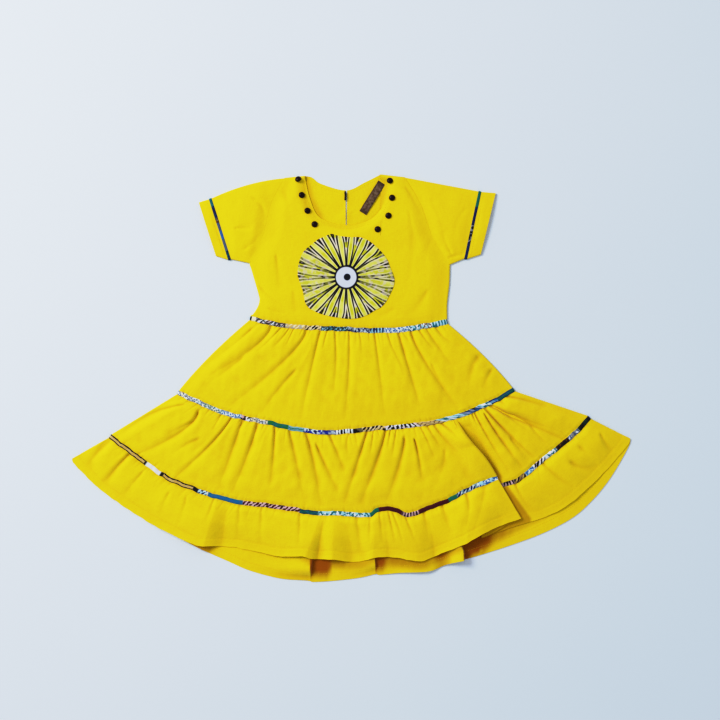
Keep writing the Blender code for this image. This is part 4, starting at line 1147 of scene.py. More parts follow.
@dataclass(frozen=True)
class SunburstFinish(Finish):
    """Wax-printed disc: a ringed eye with petals round it, outlined in black.

    The cloth's place is measured from its middle, in shares of the disc's half sizes.
    """

    petals: int = 20
    half_sizes: tuple[float, float] = (68.5, 58.0)
    eye: float = 14.4  # radii in millimetres
    ring: float = 17.0
    pupil: float = 4.8

    def surface(self, graph: Graph, groups: Groups) -> tuple[Value, Optional[Value]]:
        """Works out the petals from angle and radius.

        Each petal is a lens in a black outline. Beyond the ring the black between two petals parts
        into two lines with a pale sliver between them, in which a black wedge grows at the rim.
        """
        cloth = graph.cloth()
        x, y = graph.parts(cloth)
        wide, tall = x * self.half_sizes[0], y * self.half_sizes[1]
        radius, length = graph.length(x, y), graph.length(wide, tall)
        angle = graph.math("ARCTAN2", tall, wide)
        broad = graph.noise(cloth, 0.0007, 1.0) - 0.5
        fine = graph.noise(cloth, 0.00016, 1.0) - 0.5
        phase = graph.math("FRACT", (broad * 0.085 + angle) * (self.petals / math.tau) + 100.0)
        off = abs(phase - 0.5) * 2.0
        arch = graph.math("SINE", (radius - 0.02) * (math.pi / 1.1))
        width = graph.math("MAXIMUM", arch, 0.0) * 0.34 + 0.2 + fine * 0.05
        line = graph.math("MAXIMUM", 0.7 - radius, 0.0) * 0.9 + (broad * 0.2 + 0.25)
        wedge = graph.math("MAXIMUM", radius - 0.74, 0.0) * 0.9
        petal = graph.above(width, off, 0.07)
        core = graph.above(width * 0.66, off, 0.16)
        sliver = graph.above(off, width + line, 0.07) * graph.above(1.0 - wedge, off, 0.07)
        mottle = graph.noise(cloth, 0.00022)
        lime = graph.mix(graph.above(mottle, 0.5, 0.2), linear(212, 210, 40), linear(230, 228, 112))
        black = linear(8, 4, 8)
        colour = graph.mix(petal, black, linear(236, 230, 176))
        colour = graph.mix(core, colour, lime)
        pale = graph.mix(graph.above(mottle, 0.46, 0.1), lime, linear(232, 222, 208))
        colour = graph.mix(sliver, colour, pale)
        sideways = graph.above(abs(graph.math("COSINE", angle)), 0.84, 0.12)
        sideways = sideways * graph.above(length, self.ring + 5.0, 8.0)
        faded = sideways * graph.above(graph.noise(cloth, 0.00013), 0.42, 0.14)
        olive = graph.mix(mottle, linear(188, 190, 36), linear(212, 210, 110))
        colour = graph.mix(faded * 0.45, colour, olive)
        patch = sideways * graph.above(graph.noise(cloth, 0.00009, 1.0), 0.58, 0.06)
        colour = graph.mix(patch * 0.42, colour, linear(220, 204, 214))
        colour = graph.mix(graph.above(self.ring, fine * 3.0 + length, 1.2), colour, black)
        colour = graph.mix(graph.above(self.eye, length, 0.9), colour, linear(216, 221, 238))
        off_middle = graph.length(wide - 1.4, tall - 0.3)
        colour = graph.mix(graph.above(self.pupil, off_middle, 0.9), colour, linear(18, 20, 30))
        return colour, self.woven(graph, groups, graph.place())


@dataclass(frozen=True)
class LabelFinish(Finish):
    """A bare woven label: two browns in fine ribs, darker towards its ends."""

    half_length: float = 25.0
    half_width: float = 5.5

    def surface(self, graph: Graph, groups: Groups) -> tuple[Value, Optional[Value]]:
        """Mixes the browns by noise and darkens the ends and edges."""
        cloth = graph.cloth()
        along, across = graph.parts(cloth)
        ends = graph.above(abs(along - self.half_length), 20.0, 5.0)
        edges = graph.above(abs(across - self.half_width), 4.2, 2.4)
        tone = graph.above(graph.noise(cloth, 0.0035, 3.0), 0.5, 0.35)
        colour = graph.mix(tone, linear(132, 108, 88), linear(92, 66, 40))
        colour = graph.mix(graph.math("MAXIMUM", ends, edges) * 0.75, colour, linear(62, 34, 10))
        return colour, self.woven(graph, groups, cloth, 0.0005, 0.0001, 0.8)


@dataclass(frozen=True)
class DarkFinish(Finish):
    """A dark moulded or twisted surface with slight wear."""

    colour: tuple = linear(34, 12, 10)
    worn: tuple = linear(60, 30, 24)
    grain: float = 0.0012
    depth: float = 0.00004

    def surface(self, graph: Graph, groups: Groups) -> tuple[Value, Optional[Value]]:
        """Mixes two dark colours by noise, which also makes a fine relief."""
        noise = graph.noise(graph.place(), self.grain, 3.0, "3D")
        colour = graph.mix(graph.above(noise, 0.6, 0.3), self.colour, self.worn)
        return colour, graph.bump(noise, self.depth, 0.4)


@dataclass(frozen=True)
class FloorFinish(Finish):
    """A pale, faintly mottled studio floor."""

    def surface(self, graph: Graph, groups: Groups) -> tuple[Value, Optional[Value]]:
        """Mixes two near whites by broad noise."""
        noise = graph.noise(graph.place(), 0.5, 2.0, "3D")
        return graph.mix(noise, linear(224, 233, 247), linear(228, 237, 250)), None


class Wardrobe:
    """Every finish of the dress, each made once."""

    def __init__(self) -> None:
        """Builds the shared groups and the materials."""
        groups = Groups(weave_group(), crumple_group())
        self.finishes = {
            "cotton": CottonFinish("yellow_cotton_cloth", "yellow_cotton", 0.85, sheen=0.1, specular=0.15),
            "thread": CottonFinish("yellow_thread", "yellow_cotton", roughness=0.7),
            "strip": StripFinish("wax_print_strip", "wax_print", 0.75, sheen=0.05, specular=0.25),
            "sunburst": SunburstFinish("wax_print_sunburst", "wax_print", 0.75, sheen=0.05, specular=0.25),
            "label": LabelFinish("brown_woven_label", "brown_label", roughness=0.7, sheen=0.1),
            "cord": DarkFinish("dark_twisted_cord", "dark_cord", roughness=0.6, grain=0.0006),
            "stud": DarkFinish(
                "dark_domed_stud", "dark_stud", roughness=0.35, specular=0.2, colour=linear(26, 2, 4),
                worn=linear(48, 12, 12), depth=0.00001,
            ),  # fmt: skip
            "floor": FloorFinish("pale_floor", "", roughness=0.95, specular=0.05),
        }
        self.materials = {name: finish.build(groups) for name, finish in self.finishes.items()}

    def dress(self, name: str, mesh: bpy.types.Mesh, finish: str, *nodes: str) -> bpy.types.Object:
        """Makes a piece of the dress from a mesh.

        Args:
            name: Name of the piece.
            mesh: Its mesh, in place.
            finish: Key of its finish.
            nodes: Solids that it stands for.

        Returns:
            The piece.
        """
        mesh.materials.append(self.materials[finish])
        piece = bpy.data.objects.new(name, mesh)
        bpy.context.scene.collection.objects.link(piece)
        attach(piece, "root")
        if nodes:
            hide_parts(*nodes)
        LOG.info("%s: %d faces", name, len(mesh.polygons))
        return piece

    def cloth(
        self, mesh: bpy.types.Mesh, finish: str, node: str, held: str, rests_on: str,
        cut: tuple[float, float], share: float = 1.0,
    ) -> None:  # fmt: skip
        """Args:
            mesh: Its mesh, whose name it takes.
            finish: Key of its finish.
            node: Solid that it stands for.
            held: How the dress holds it; not used.
            rests_on: What it lies on; not used.
            cut: Width and length of the sheet, in millimetres.
            share: Share of the sheet that the cut fills.
        """
        width, length = cut
        area = None if share == 1.0 else share * width * length * MM * MM
        piece = self.dress(mesh.name, mesh, finish, node)
        width * MM
        length * MM

    def sew(self, name: str, runs: Sequence[Array], stitch: tuple[float, float, float] = STITCH) -> None:
        """Makes the stitches along runs of points."""
        self.dress(name, stitch_mesh(name, runs, *stitch), "thread")


# --- the skirt ---


def fold_height(folds: Sequence[Fold], x: Array, share: Array) -> Array:
    """Height of the folds: each grows from the seam to the hem, a bell on its left and a ramp on its right.

    Args:
        folds: The folds.
        x: Places across.
        share: Shares of the way down to the hem.

    Returns:
        The height at each place.
    """
    total = np.zeros_like(x)
    down = np.clip(share, 0.0, 1.0)
    for fold in folds:
        ridge = fold.top + (fold.foot - fold.top) * down
        past = np.clip((x - ridge) / (fold.right * (0.5 + 0.5 * down)), 0.0, 1.0)
        ramp = 1.0 - past + 0.25 * np.sin(math.tau * past) / math.tau
        side = np.where(x < ridge, bell((x - ridge) / fold.left), ramp)
        total = np.maximum(total, fold.lift * down**0.6 * side)
    return total


def back_fold_height(x: Array, share: Array) -> Array:
    """Height of the back's folds; the first two close again just above the hem."""
    grown = ease((share - 0.3) / 0.6)
    closed = 1.0 - ease((share - 0.8) / 0.14)
    return np.maximum(fold_height(BACK_FOLDS[:2], x, grown) * closed, fold_height(BACK_FOLDS[2:], x, grown))


def back_top(x: Array, y: Array) -> Array:
    """Height of the lowest back tier's upper face, its hem's folds included."""
    seam, hem = BACK_SEAMS[2].left.points, BACK_SEAMS[3].left.points
    high, low = np.interp(x, *seam.T), np.interp(x, *hem.T)
    share = np.clip((high - y) / np.maximum(high - low, 5.0), 0.0, 1.0)
    return CLOTH + back_fold_height(x, share)


def painted_hem_shadow(x: Array, y: Array) -> Array:
    """Painted shadow on the back in the openings under the front's hem, as a depth added to its fold shade.
    """
    left, right = FRONT_SEAMS[3].left.points, FRONT_SEAMS[3].right.points
    hem = np.where(x < right[0, 0], np.interp(x, *left.T), np.interp(x, *right.T))
    opened = np.interp(x, *np.array(HEM_OPENINGS, float).T)
    ragged = 1 + 0.12 * swell(x, 0.3 * y, 9.0, 61)
    return 0.4 * opened * ragged * np.exp(-((np.maximum(hem - y, 0) / (1.7 * opened + 1)) ** 4))


@dataclass
class Tier:
    """One of the skirt's three gathered tiers. Shares run from 0 at its upper seam to 1 at its foot."""

    number: int
    loft: float
    creases: Sequence[Crease]
    columns: int
    rows: int
    cut: tuple[float, float]  # width and length of the flat front
    gathers: Gathers
    back_folds: Gathers
    bow: float = 0.0

    @property
    def has_hem(self) -> bool:
        """The lowest tier ends in the hem."""
        return self.number == 3

    def grid(self) -> tuple[Array, Array]:
        """Stations and shares of the grid: closer at the sides, in the pleat and beside the seams."""
        width = FRONT_SEAMS[self.number].length
        inner = np.linspace(2.8 / width, 1 - 2.8 / width, self.columns)
        if self.number > 1:
            inner = with_pleat(inner, 0.001)
        even = np.linspace(0, 1, self.rows)
        return beside_sides(inner, width), even - 0.5 * np.sin(math.tau * even) / math.tau

    def outline(self, seams: Sequence[Seam], station: Array, share: Array) -> Array:
        """Flat places, on the straight runs between the two seams, bowed out at the sides.

        Args:
            seams: The seams of the front or the back.
            station: Stations of the points.
            share: Shares of the points.

        Returns:
            The places.
        """
        beside = bell((station - PLEAT_LIP) / 0.12) if self.number == 2 else 0.0 * station
        upper = seams[self.number - 1].edge(station + PLEAT_LEAN * beside * (1 - share) ** 4, SEAM_EDGE)
        lower = seams[self.number].edge(station, 0.0 if self.has_hem else -SEAM_EDGE)
        if self.has_hem:
            nearest = np.minimum(station, 1 - station)
            share = share * (1 - 0.05 * np.square(1 - np.clip(nearest / 0.008, 0, 1)))
        share, side = share[..., None], station[..., None]
        outward = self.bow * 4 * share * (1 - share) * (side**6 - (1 - side) ** 6)
        outward += 8.0 * beside[..., None] * np.sin(math.pi * np.clip(share, 0, 1))
        return upper * (1 - share) + lower * share + outward * np.array([1.0, 0.0])

    def pleat_turn(self, share: Array) -> Array:
        """How far each bend of the pleat turns: it opens below the middle seam and is whole from there on."""
        if self.number < 2:
            return np.zeros_like(share)
        if self.has_hem:
            return np.full_like(share, math.pi)
        return math.pi * np.clip(share / PLEAT_WHOLE, 0, 1)

    def pleat_run(self, share: Array) -> Array:
        """Length of the pleat's hidden run."""
        if self.has_hem:
            return PLEAT_DEPTH + (PLEAT_HEM_DEPTH - PLEAT_DEPTH) * share
        return 1.0 + (PLEAT_DEPTH - 1.0) * np.clip((share - PLEAT_FULL_RUN) / (1 - PLEAT_FULL_RUN), 0, 1)

    def pleat_hidden(self, share: Array) -> Array:
        """Stations of the lower layer that stay flat under the lip."""
        at_seam, at_hem = PLEAT_HIDDEN
        return at_seam + (at_hem - at_seam) * share if self.has_hem else np.full_like(share, at_seam)

    def calm(self, station: Array, share: Array) -> Array:
        """1 away from the pleat, and 0 in it and where the lower layer is hidden."""
        if self.number < 2:
            return np.ones_like(station)
        left = ease((PLEAT_LIP - station) / PLEAT_CALM)
        right = ease((station - PLEAT_RETURN - self.pleat_hidden(share)) / PLEAT_CALM)
        opened = np.clip(self.pleat_turn(share), 0, 1)
        return 1 - opened * (1 - np.where(station < PLEAT_RETURN, left, right))

    def lift(self, station: Array, share: Array, flat: Array) -> Array:
        """Height of the front over the back: a puffed body less its creases and gathers.

        Args:
            station: Stations of the points.
            share: Shares of the points.
            flat: Their flat places.

        Returns:
            The height at each point.
        """
        top, foot = FRONT_SEAMS[self.number - 1].length, FRONT_SEAMS[self.number].length
        width = top * (1 - share) + foot * share
        deep = np.linalg.norm(flat[:, -1] - flat[:, 0], axis=-1)[:, None]
        below, above = share * deep, (1 - share) * deep
        near = np.minimum(station, 1 - station) * width
        side = ease(near / SIDE_RISE)
        body = 0.3 * ease(below / QUICK_RISE) + 0.7 * ease(share / SEAM_RISE)
        if not self.has_hem:
            body = body * (0.3 * ease(above / QUICK_RISE) + 0.7 * ease((1 - share) / FOOT_FALL))
        x, y = flat[..., 0], flat[..., 1]
        calm = self.calm(station, share)
        uneven = 0.2 * swell(x, y, 46.0, 10 + self.number) + 0.08 * swell(x, y, 17.0, 20 + self.number)
        bulge = self.loft * body * side * (1.0 + uneven)
        dents = sum_of_dents(self.creases, x, y)
        dents += self.gathers.dent(station * top, below, top) * ease(near / 6.0)
        if not self.has_hem:
            puckers = Gathers(8.0, 0.7, 9.0, 1.8, 40 + self.number)
            dents += puckers.dent(station * foot, above, foot) * ease(near / 6.0)
        else:
            dents += 0.3 * bell((above - HEM_TURN) / 1.3)
            bulge = bulge * (1 - ease((share - 0.4) / 0.6)) + fold_height(FRONT_FOLDS, x, share) * side
        hold = ease(below / 3.0 + 0.3) * (1.0 if self.has_hem else ease(above / 3.0 + 0.3))
        seam_lift = SEAM_LIFT * side * (1 - self.settled(share))
        puffed = floored(seam_lift + bulge - dents * hold, -1.3 * (1 - self.settled(share))) * calm
        hidden = self.pleat_run(share) / foot if self.has_hem else 0.0
        climbed = ease((station - PLEAT_LIP + hidden + PLEAT_SLOPE) / PLEAT_SLOPE)
        lip = self.pleat_path(1.0, share)[1] * climbed
        return puffed + np.where(station <= PLEAT_LIP + 1e-9, lip, 0.0)

    def settled(self, share: Array) -> Array:
        """How far the front has come down onto the back: only at the hem."""
        return ease((share - 0.35) / 0.6) if self.has_hem else np.zeros_like(share)

    def rest(self, share: Array) -> Array:
        """Height of the middle surface before it is lifted: level, but it comes down at the hem."""
        return FRONT_MID + self.settled(share) * (CLOTH + HEM_WALL / 2 + 0.1 - FRONT_MID)

    def pleat_path(self, part: Array | float, share: Array) -> tuple[Array, Array]:
        """How the pleat runs: a bend, a run back and a bend the other way.

        Args:
            part: How far along it, 0 to 1.
            share: Shares of the points.

        Returns:
            Advance and drop at each point.
        """
        if self.number < 2:
            return np.zeros_like(share), np.zeros_like(share)
        first, middle, last = (np.clip(3 * part - k, 0, 1) for k in range(3))
        turn = np.maximum(self.pleat_turn(share), 1e-3)
        run = self.pleat_run(share)
        swollen = 0.0 if self.has_hem else PLEAT_SWELL * np.sin(math.pi * np.clip(share, 0, 1))
        radius = math.pi * (PLEAT_RADIUS + swollen) / turn
        back = (1 - last) * turn
        advance = radius * (np.sin(first * turn) + np.sin(turn) - np.sin(back)) + middle * run * np.cos(turn)
        drop = radius * (1 - np.cos(first * turn) + np.cos(back) - np.cos(turn)) + middle * run * np.sin(turn)
        return advance, drop

    def front(self, station: Array, share: Array) -> Array:
        """Points of the front's middle surface, with the pleat's S section between its two stations.

        Args:
            station: Stations, a column.
            share: Shares, a row.

        Returns:
            Points by station and share.
        """
        station, share = np.broadcast_arrays(np.asarray(station, float), np.asarray(share, float))
        flat = self.outline(FRONT_SEAMS, station, share)
        height = self.rest(share) + self.lift(station, share, flat)
        if self.number > 1:
            lip, before, under = (
                self.outline(FRONT_SEAMS, np.full_like(station, place), share)
                for place in (PLEAT_LIP, PLEAT_LIP - 0.02, PLEAT_RETURN)
            )
            part = (station - PLEAT_LIP) / (PLEAT_RETURN - PLEAT_LIP)
            advance, drop = self.pleat_path(part, share)
            whole, fall = self.pleat_path(1.0, share)
            along = unit(lip - before)
            crossed = ease(3 * part - 1)[..., None]
            bent = lip + along * advance[..., None] + crossed * (under - lip - along * whole[..., None])
            inside = (part > 0) & (part < 1)
            flat = np.where(inside[..., None], bent, flat)
            height = np.where(inside, self.rest(share) + fall - drop, height)
        if self.has_hem:
            height = floored(height, back_top(flat[..., 0], flat[..., 1]) + HEM_WALL / 2 + 0.1, 0.25)
        width = FRONT_SEAMS[self.number].length
        roll = rolled(np.minimum(station, 1 - station) * width, SIDE_ROLL)
        return with_height(flat, met(height, roll, front=True))

    def painted_pleat_shade(self, station: Array, flat: Array) -> Array:
        """Painted shade on the lower layer beside the pleat's lip, as a depth added to its fold shade.

        Args:
            station: Stations of the points.
            flat: Their places.

        Returns:
            The depth to add at each point.
        """
        if self.number < 2:
            return np.zeros_like(flat[..., 0])
        down = np.linspace(1, 0, 41)
        edge = self.outline(FRONT_SEAMS, np.full_like(down, PLEAT_LIP), down)
        away = 0.85 * (flat[..., 0] - np.interp(flat[..., 1], edge[:, 1], edge[:, 0]))
        share = np.interp(flat[..., 1], edge[:, 1], down)
        halfway, foot, hem = PLEAT_SHADE
        if self.has_hem:
            width = foot + (hem - foot) * share
        else:
            wider = ease(share / 0.3) * ease((0.8 - share) / 0.55)
            width = foot * ease(share / 0.1 + 0.3) + (halfway - foot) * wider
        turned = station > PLEAT_LIP + 0.4 * (PLEAT_RETURN - PLEAT_LIP)
        depth = 2.6 if self.has_hem else 1.1 + 1.5 * ease((share - 0.4) / 0.5)
        return np.where(turned, depth * ease((width - away) / 4.0 + 0.5), 0.0)

    def back(self, station: Array, share: Array) -> Array:
        """Points of the back's middle surface, which lies flat but for shallow folds and the hem's waves.

        Args:
            station: Stations, a column.
            share: Shares, a row.

        Returns:
            Points by station and share.
        """
        station, share = np.broadcast_arrays(np.asarray(station, float), np.asarray(share, float))
        flat = self.outline(BACK_SEAMS, station, share)
        top, width = BACK_SEAMS[self.number - 1].length, BACK_SEAMS[self.number].length
        deep = np.linalg.norm(flat[:, -1] - flat[:, 0], axis=-1)[:, None]
        near = np.minimum(station, 1 - station) * width
        raised = self.gathers.dent(station * top + 3.0, share * deep, top) * 0.5
        raised += self.back_folds.dent(station * top, share * deep, top)
        raised = np.clip(raised, 0.0, 1.0) * ease(near / 12.0) * ease(share * 12) * ease((1 - share) * 12)
        if self.has_hem:
            raised = raised * (1 - share) + back_fold_height(flat[..., 0], share) * ease(near / 12.0)
        return with_height(flat, met(BACK_MID + raised, rolled(near, SIDE_ROLL), front=False))

    def walls(self, share: Array, columns: int, deep: float) -> Array:
        """Wall thickness by share: thicker where the hem is turned."""
        wall = np.full_like(share, CLOTH)
        if self.has_hem:
            wall = CLOTH + (HEM_WALL - CLOTH) * ease((HEM_TURN - (1 - share) * deep) / 0.8 + 0.5)
        return np.broadcast_to(wall, (columns, len(share)))

    def build(self, wardrobe: Wardrobe) -> None:
        """Makes the front and the back panel."""
        name = f"tier_{self.number}"
        station, share = self.grid()
        points = self.front(station[:, None], share[None, :])
        walls = self.walls(share, len(station), HEM_FRONT_DEPTH)
        mesh = shell_mesh(f"{name}_front_cloth", points, walls, cloth_places(points))
        # Painted shade in the front's folds and beside the pleat's lip.
        paint_fold_shade(mesh, points[..., 2], self.painted_pleat_shade(station[:, None], points))
        wardrobe.cloth(mesh, "cotton", f"{name}_front", "gathered", f"{name}_back_cloth", self.cut)
        station, share = np.append(station[:-1:3], 1.0), np.append(share[:-1:2], 1.0)
        if self.has_hem:
            line = BACK_SEAMS[3].left
            steps = np.interp(BACK_STEPS, line.points[:, 0], line.share)
            near_steps = steps[:, None] + np.linspace(-6, 8, 15) / line.length
            station = np.unique(np.concatenate([station, near_steps.reshape(-1)]))
        points = self.back(station[:, None], share[None, :])
        walls = self.walls(share, len(station), HEM_BACK_DEPTH)
        mesh = shell_mesh(f"{name}_back_cloth", points, walls, cloth_places(points))
        # Painted shadow on the back under the lifted front hem, added to its fold shade.
        added_shade = painted_hem_shadow(points[..., 0], points[..., 1]) if self.has_hem else 0.0
        paint_fold_shade(mesh, points[..., 2], added_shade)
        wardrobe.cloth(mesh, "cotton", f"{name}_back", "gathered", "floor", self.cut)


# --- the bodice ---


def painted_neck_shade(x: Array, y: Array) -> Array:
    """Painted shade on the back beside the neckline's left edge, as a depth added to its fold shade."""
    edge = np.array(FRONT_NECKLINE[2::-1], float)
    away = x - np.interp(y, edge[:, 1], edge[:, 0])
    return np.where(y > 216, 1.5 * bell((away - 1.0) / 5.0) * ease((y - 216) / 14), 0.0)


@dataclass
class Bodice:
    """The upper part: columns run up from the waist to the armholes, shoulders and neckline."""

    segments: Sequence[int] = (40, 12, 72, 12, 40)
    ends: Sequence[float] = (0.0, 0.175, 0.28, 0.66, 0.775, 1.0)
    half_widths: Sequence[tuple[float, float]] = ((84, 133), (160, 138), (201, 118), (244, 107), (282, 84))
    cut: tuple[float, float] = (300.0, 225.0)
    middle: float = -3.0
    side_rise: float = 26.0
    waist_rise: float = 14.0
    top_fall: tuple[float, float] = (276.0, 287.0)
    loft: float = 2.6
    rows: int = 110
    slit_x: float = -7.6
    slit_head: float = 263.0
    slit_foot: float = 197.0
    slit_widths: tuple[float, float] = (1.0, 2.4)
    neck_half: tuple[float, float] = (54.0, 60.0)  # half sizes of an oval near the neckline
    height_over_all: float = 200.0
    shoulders: Path = (  # 1 at the stations of the shoulder seams, where front and back meet too
        (0.17, 0), (0.18, 1), (0.275, 1), (0.29, 0), (0.65, 0), (0.665, 1), (0.77, 1), (0.78, 0),
    )  # fmt: skip
    left_side: SmoothLine = field(default_factory=lambda: SmoothLine(LEFT_SIDE))
    right_side: SmoothLine = field(default_factory=lambda: SmoothLine(RIGHT_SIDE))

    def top(self, neckline: Path) -> tuple[Array, Array]:
        """Stations and places of the columns' upper ends."""
        lines = (LEFT_ARMHOLE, LEFT_SHOULDER, neckline, RIGHT_SHOULDER, RIGHT_ARMHOLE)
        stations, places = [np.zeros(1)], [np.array([LEFT_ARMHOLE[0]], float)]
        for line, count, start, end in zip(lines, self.segments, self.ends[:-1], self.ends[1:]):
            shares = np.linspace(0, 1, count + 1)[1:]
            stations.append(start + shares * (end - start))
            places.append(SmoothLine(line).at(shares))
        return np.concatenate(stations), np.vstack(places)

    def lift(self, x: Array, y: Array) -> Array:
        """Height of the front over the back: a low puff less its creases, laid down below the neck.

        Args:
            x: Places across.
            y: Places along, of the same shape.

        Returns:
            The height at each place.
        """
        heights, widths = np.array(self.half_widths, float).T
        side = ease((np.interp(y, heights, widths) - np.abs(x - self.middle)) / self.side_rise)
        over_waist = y - np.interp(x, *FRONT_SEAMS[0].left.points.T) - SEAM_EDGE
        low, high = self.top_fall
        body = 0.4 * ease(over_waist / 5.0) + 0.6 * ease(over_waist / self.waist_rise)
        body = body * ease((high - y) / (high - low))
        bulge = (self.loft - SEAM_LIFT) * side * body * (1 + 0.25 * swell(x, y, 60.0, 3))
        puckers = Gathers(9.0, 0.5, 8.0, 2.0, 77).dent(x + 150.0, np.maximum(over_waist, 0.0), 300.0)
        dents = (sum_of_dents(BODICE_CREASES, x, y) + puckers) * ease(over_waist / 4.0 + 0.2)
        across, up = self.neck_half
        from_neck = np.hypot((x + 9.0) / across, (y - 275.0) / up)
        laid = (1 - ease((from_neck - 1.0) / 0.3)) * ease((283.0 - y) / 8.0)
        return floored((SEAM_LIFT * side + bulge - dents) * (1 - laid) - 1.1 * laid)

    def height(self, x: Array, y: Array, front: bool) -> Array:
        """Height of the middle surface over flat places."""
        if front:
            return FRONT_MID + self.lift(x, y)
        folds = 0.5 * (1 + swell(x, y, 34.0, 8))
        return BACK_MID + np.clip(folds - 0.55, 0.0, 0.6) * ease((y - 84.0) / 20.0) * ease((262.0 - y) / 30.0)

    def panel(self, stations: Array, top: Array, rows: Array, front: bool) -> Array:
        """Points of the middle surface, on straight runs from the waist to the upper edge.

        Args:
            stations: Stations of the columns.
            top: Their upper ends.
            rows: Shares of the rows.
            front: The front panel, which lies over the back.

        Returns:
            Points by column and row.
        """
        foot = FRONT_SEAMS[0].edge(stations, -SEAM_EDGE)
        share = np.asarray(rows)[None, :, None]
        flat = foot[:, None] * (1 - share) + top[:, None] * share
        left = self.left_side.at(share[..., 0]) - (foot[0] * (1 - share) + top[0] * share)
        right = self.right_side.at(share[..., 0]) - (foot[-1] * (1 - share) + top[-1] * share)
        near = stations[:, None, None]
        hold = ease(share / 0.08) * ease((1 - share) / 0.08)
        flat = flat + hold * (left * (1 - near) ** 6 + right * near**6)
        shoulder = np.interp(near[..., 0], *np.array(self.shoulders, float).T)
        from_top = (1 - share[..., 0]) * self.height_over_all
        roll = self.side_roll(near[..., 0]) * (1 - shoulder * (1 - rolled(from_top, SIDE_ROLL)))
        return with_height(flat, met(self.height(flat[..., 0], flat[..., 1], front), roll, front))

    def side_roll(self, stations: Array) -> Array:
        """Height share of the round edges at both sides."""
        return rolled(np.minimum(stations, 1 - stations) * WAIST_WIDTH, SIDE_ROLL)

    def foot(self, stations: Array, front: bool) -> Array:
        """The panel's lower edge, over the waist piping."""
        flat = FRONT_SEAMS[0].edge(stations, -SEAM_EDGE)
        height = self.height(flat[:, 0], flat[:, 1], front)
        return with_height(flat, met(height, self.side_roll(stations), front))

    def denser(self, stations: Array, top: Array) -> tuple[Array, Array]:
        """The columns with a few more close to the two sides."""
        near = np.array(SIDE_COLUMNS) / WAIST_WIDTH
        wanted = np.sort(np.concatenate([stations, near, 1 - near]))
        return wanted, np.stack([np.interp(wanted, stations, top[:, k]) for k in (0, 1)], axis=-1)

    def on_front(self, x: Array, y: Array, above: float) -> Array:
        """Points over the front panel's outer face, moved out."""
        height = FRONT_MID + self.lift(x, y) + CLOTH / 2 + above
        return np.stack([x, y, height], axis=-1)

    def build(self, wardrobe: Wardrobe) -> None:
        """Makes the front and the back, which has the slit down from its neck."""
        rows = np.concatenate([np.linspace(0, 0.985, self.rows), [0.989, 0.993, 0.996, 0.9985, 1.0]])
        stations, top = self.denser(*self.top(FRONT_NECKLINE))
        points = self.panel(stations, top, rows, front=True)
        mesh = shell_mesh("bodice_front_cloth", points, CLOTH, cloth_places(points))
        # Painted shade in the bodice front's folds.
        paint_fold_shade(mesh, points[..., 2])
        wardrobe.cloth(mesh, "cotton", "bodice_front", "laid", "bodice_back_cloth", self.cut, share=0.80)
        stations, top = self.denser(*self.top(BACK_NECKLINE))
        rows = np.append(rows[:-1:2], 1.0)
        split = int(np.argmin(np.abs(top[:, 0] - self.slit_x)))
        stations, top = (np.insert(table, split, table[split], axis=0) for table in (stations, top))
        points = self.panel(stations, top, rows, front=False)
        high = np.clip((points[split, :, 1] - self.slit_foot) / (self.slit_head - self.slit_foot), 0.0, 1.0)
        low_width, top_width = self.slit_widths
        width = np.where(high > 0, low_width + (top_width - low_width) * high, 0.05)
        side = np.where(np.arange(len(stations)) <= split, -1.0, 1.0)[:, None]
        away = np.abs(points[..., 0] - points[split, :, 0])
        points[..., 0] += side * width / 2 * np.exp(-away / 9.0)
        points[..., 2] += 0.5 * ease(high * 4) * np.exp(-away / 4.0)
        keep = np.ones((len(stations) - 1, len(rows) - 1), bool)
        keep[split, high[:-1] > 0] = False
        mesh = shell_mesh("bodice_back_cloth", points, CLOTH, cloth_places(points), keep=keep)
        # Painted shade in the back's folds and beside the neckline's left edge.
        paint_fold_shade(mesh, points[..., 2], painted_neck_shade(points[..., 0], points[..., 1]))
        wardrobe.cloth(mesh, "cotton", "bodice_back", "laid", "floor", self.cut, share=0.82)
        self.stitching(wardrobe)

    def stitching(self, wardrobe: Wardrobe) -> None:
        """Makes the stitches round the front and back necklines."""
        flat = SmoothLine(FRONT_NECKLINE).beside(np.linspace(0.01, 0.99, 160), 4.5)
        runs = [self.on_front(flat[:, 0], flat[:, 1], ON_TOP)]
        for start, end in ((0.02, 0.50), (0.58, 0.98)):
            flat = SmoothLine(BACK_NECKLINE).beside(np.linspace(start, end, 60), 4.0)
            height = self.height(flat[:, 0], flat[:, 1], front=False) + CLOTH / 2 + ON_TOP
            runs.append(with_height(flat, height))
        wardrobe.sew("neck_stitching", runs)


# --- sleeves ---


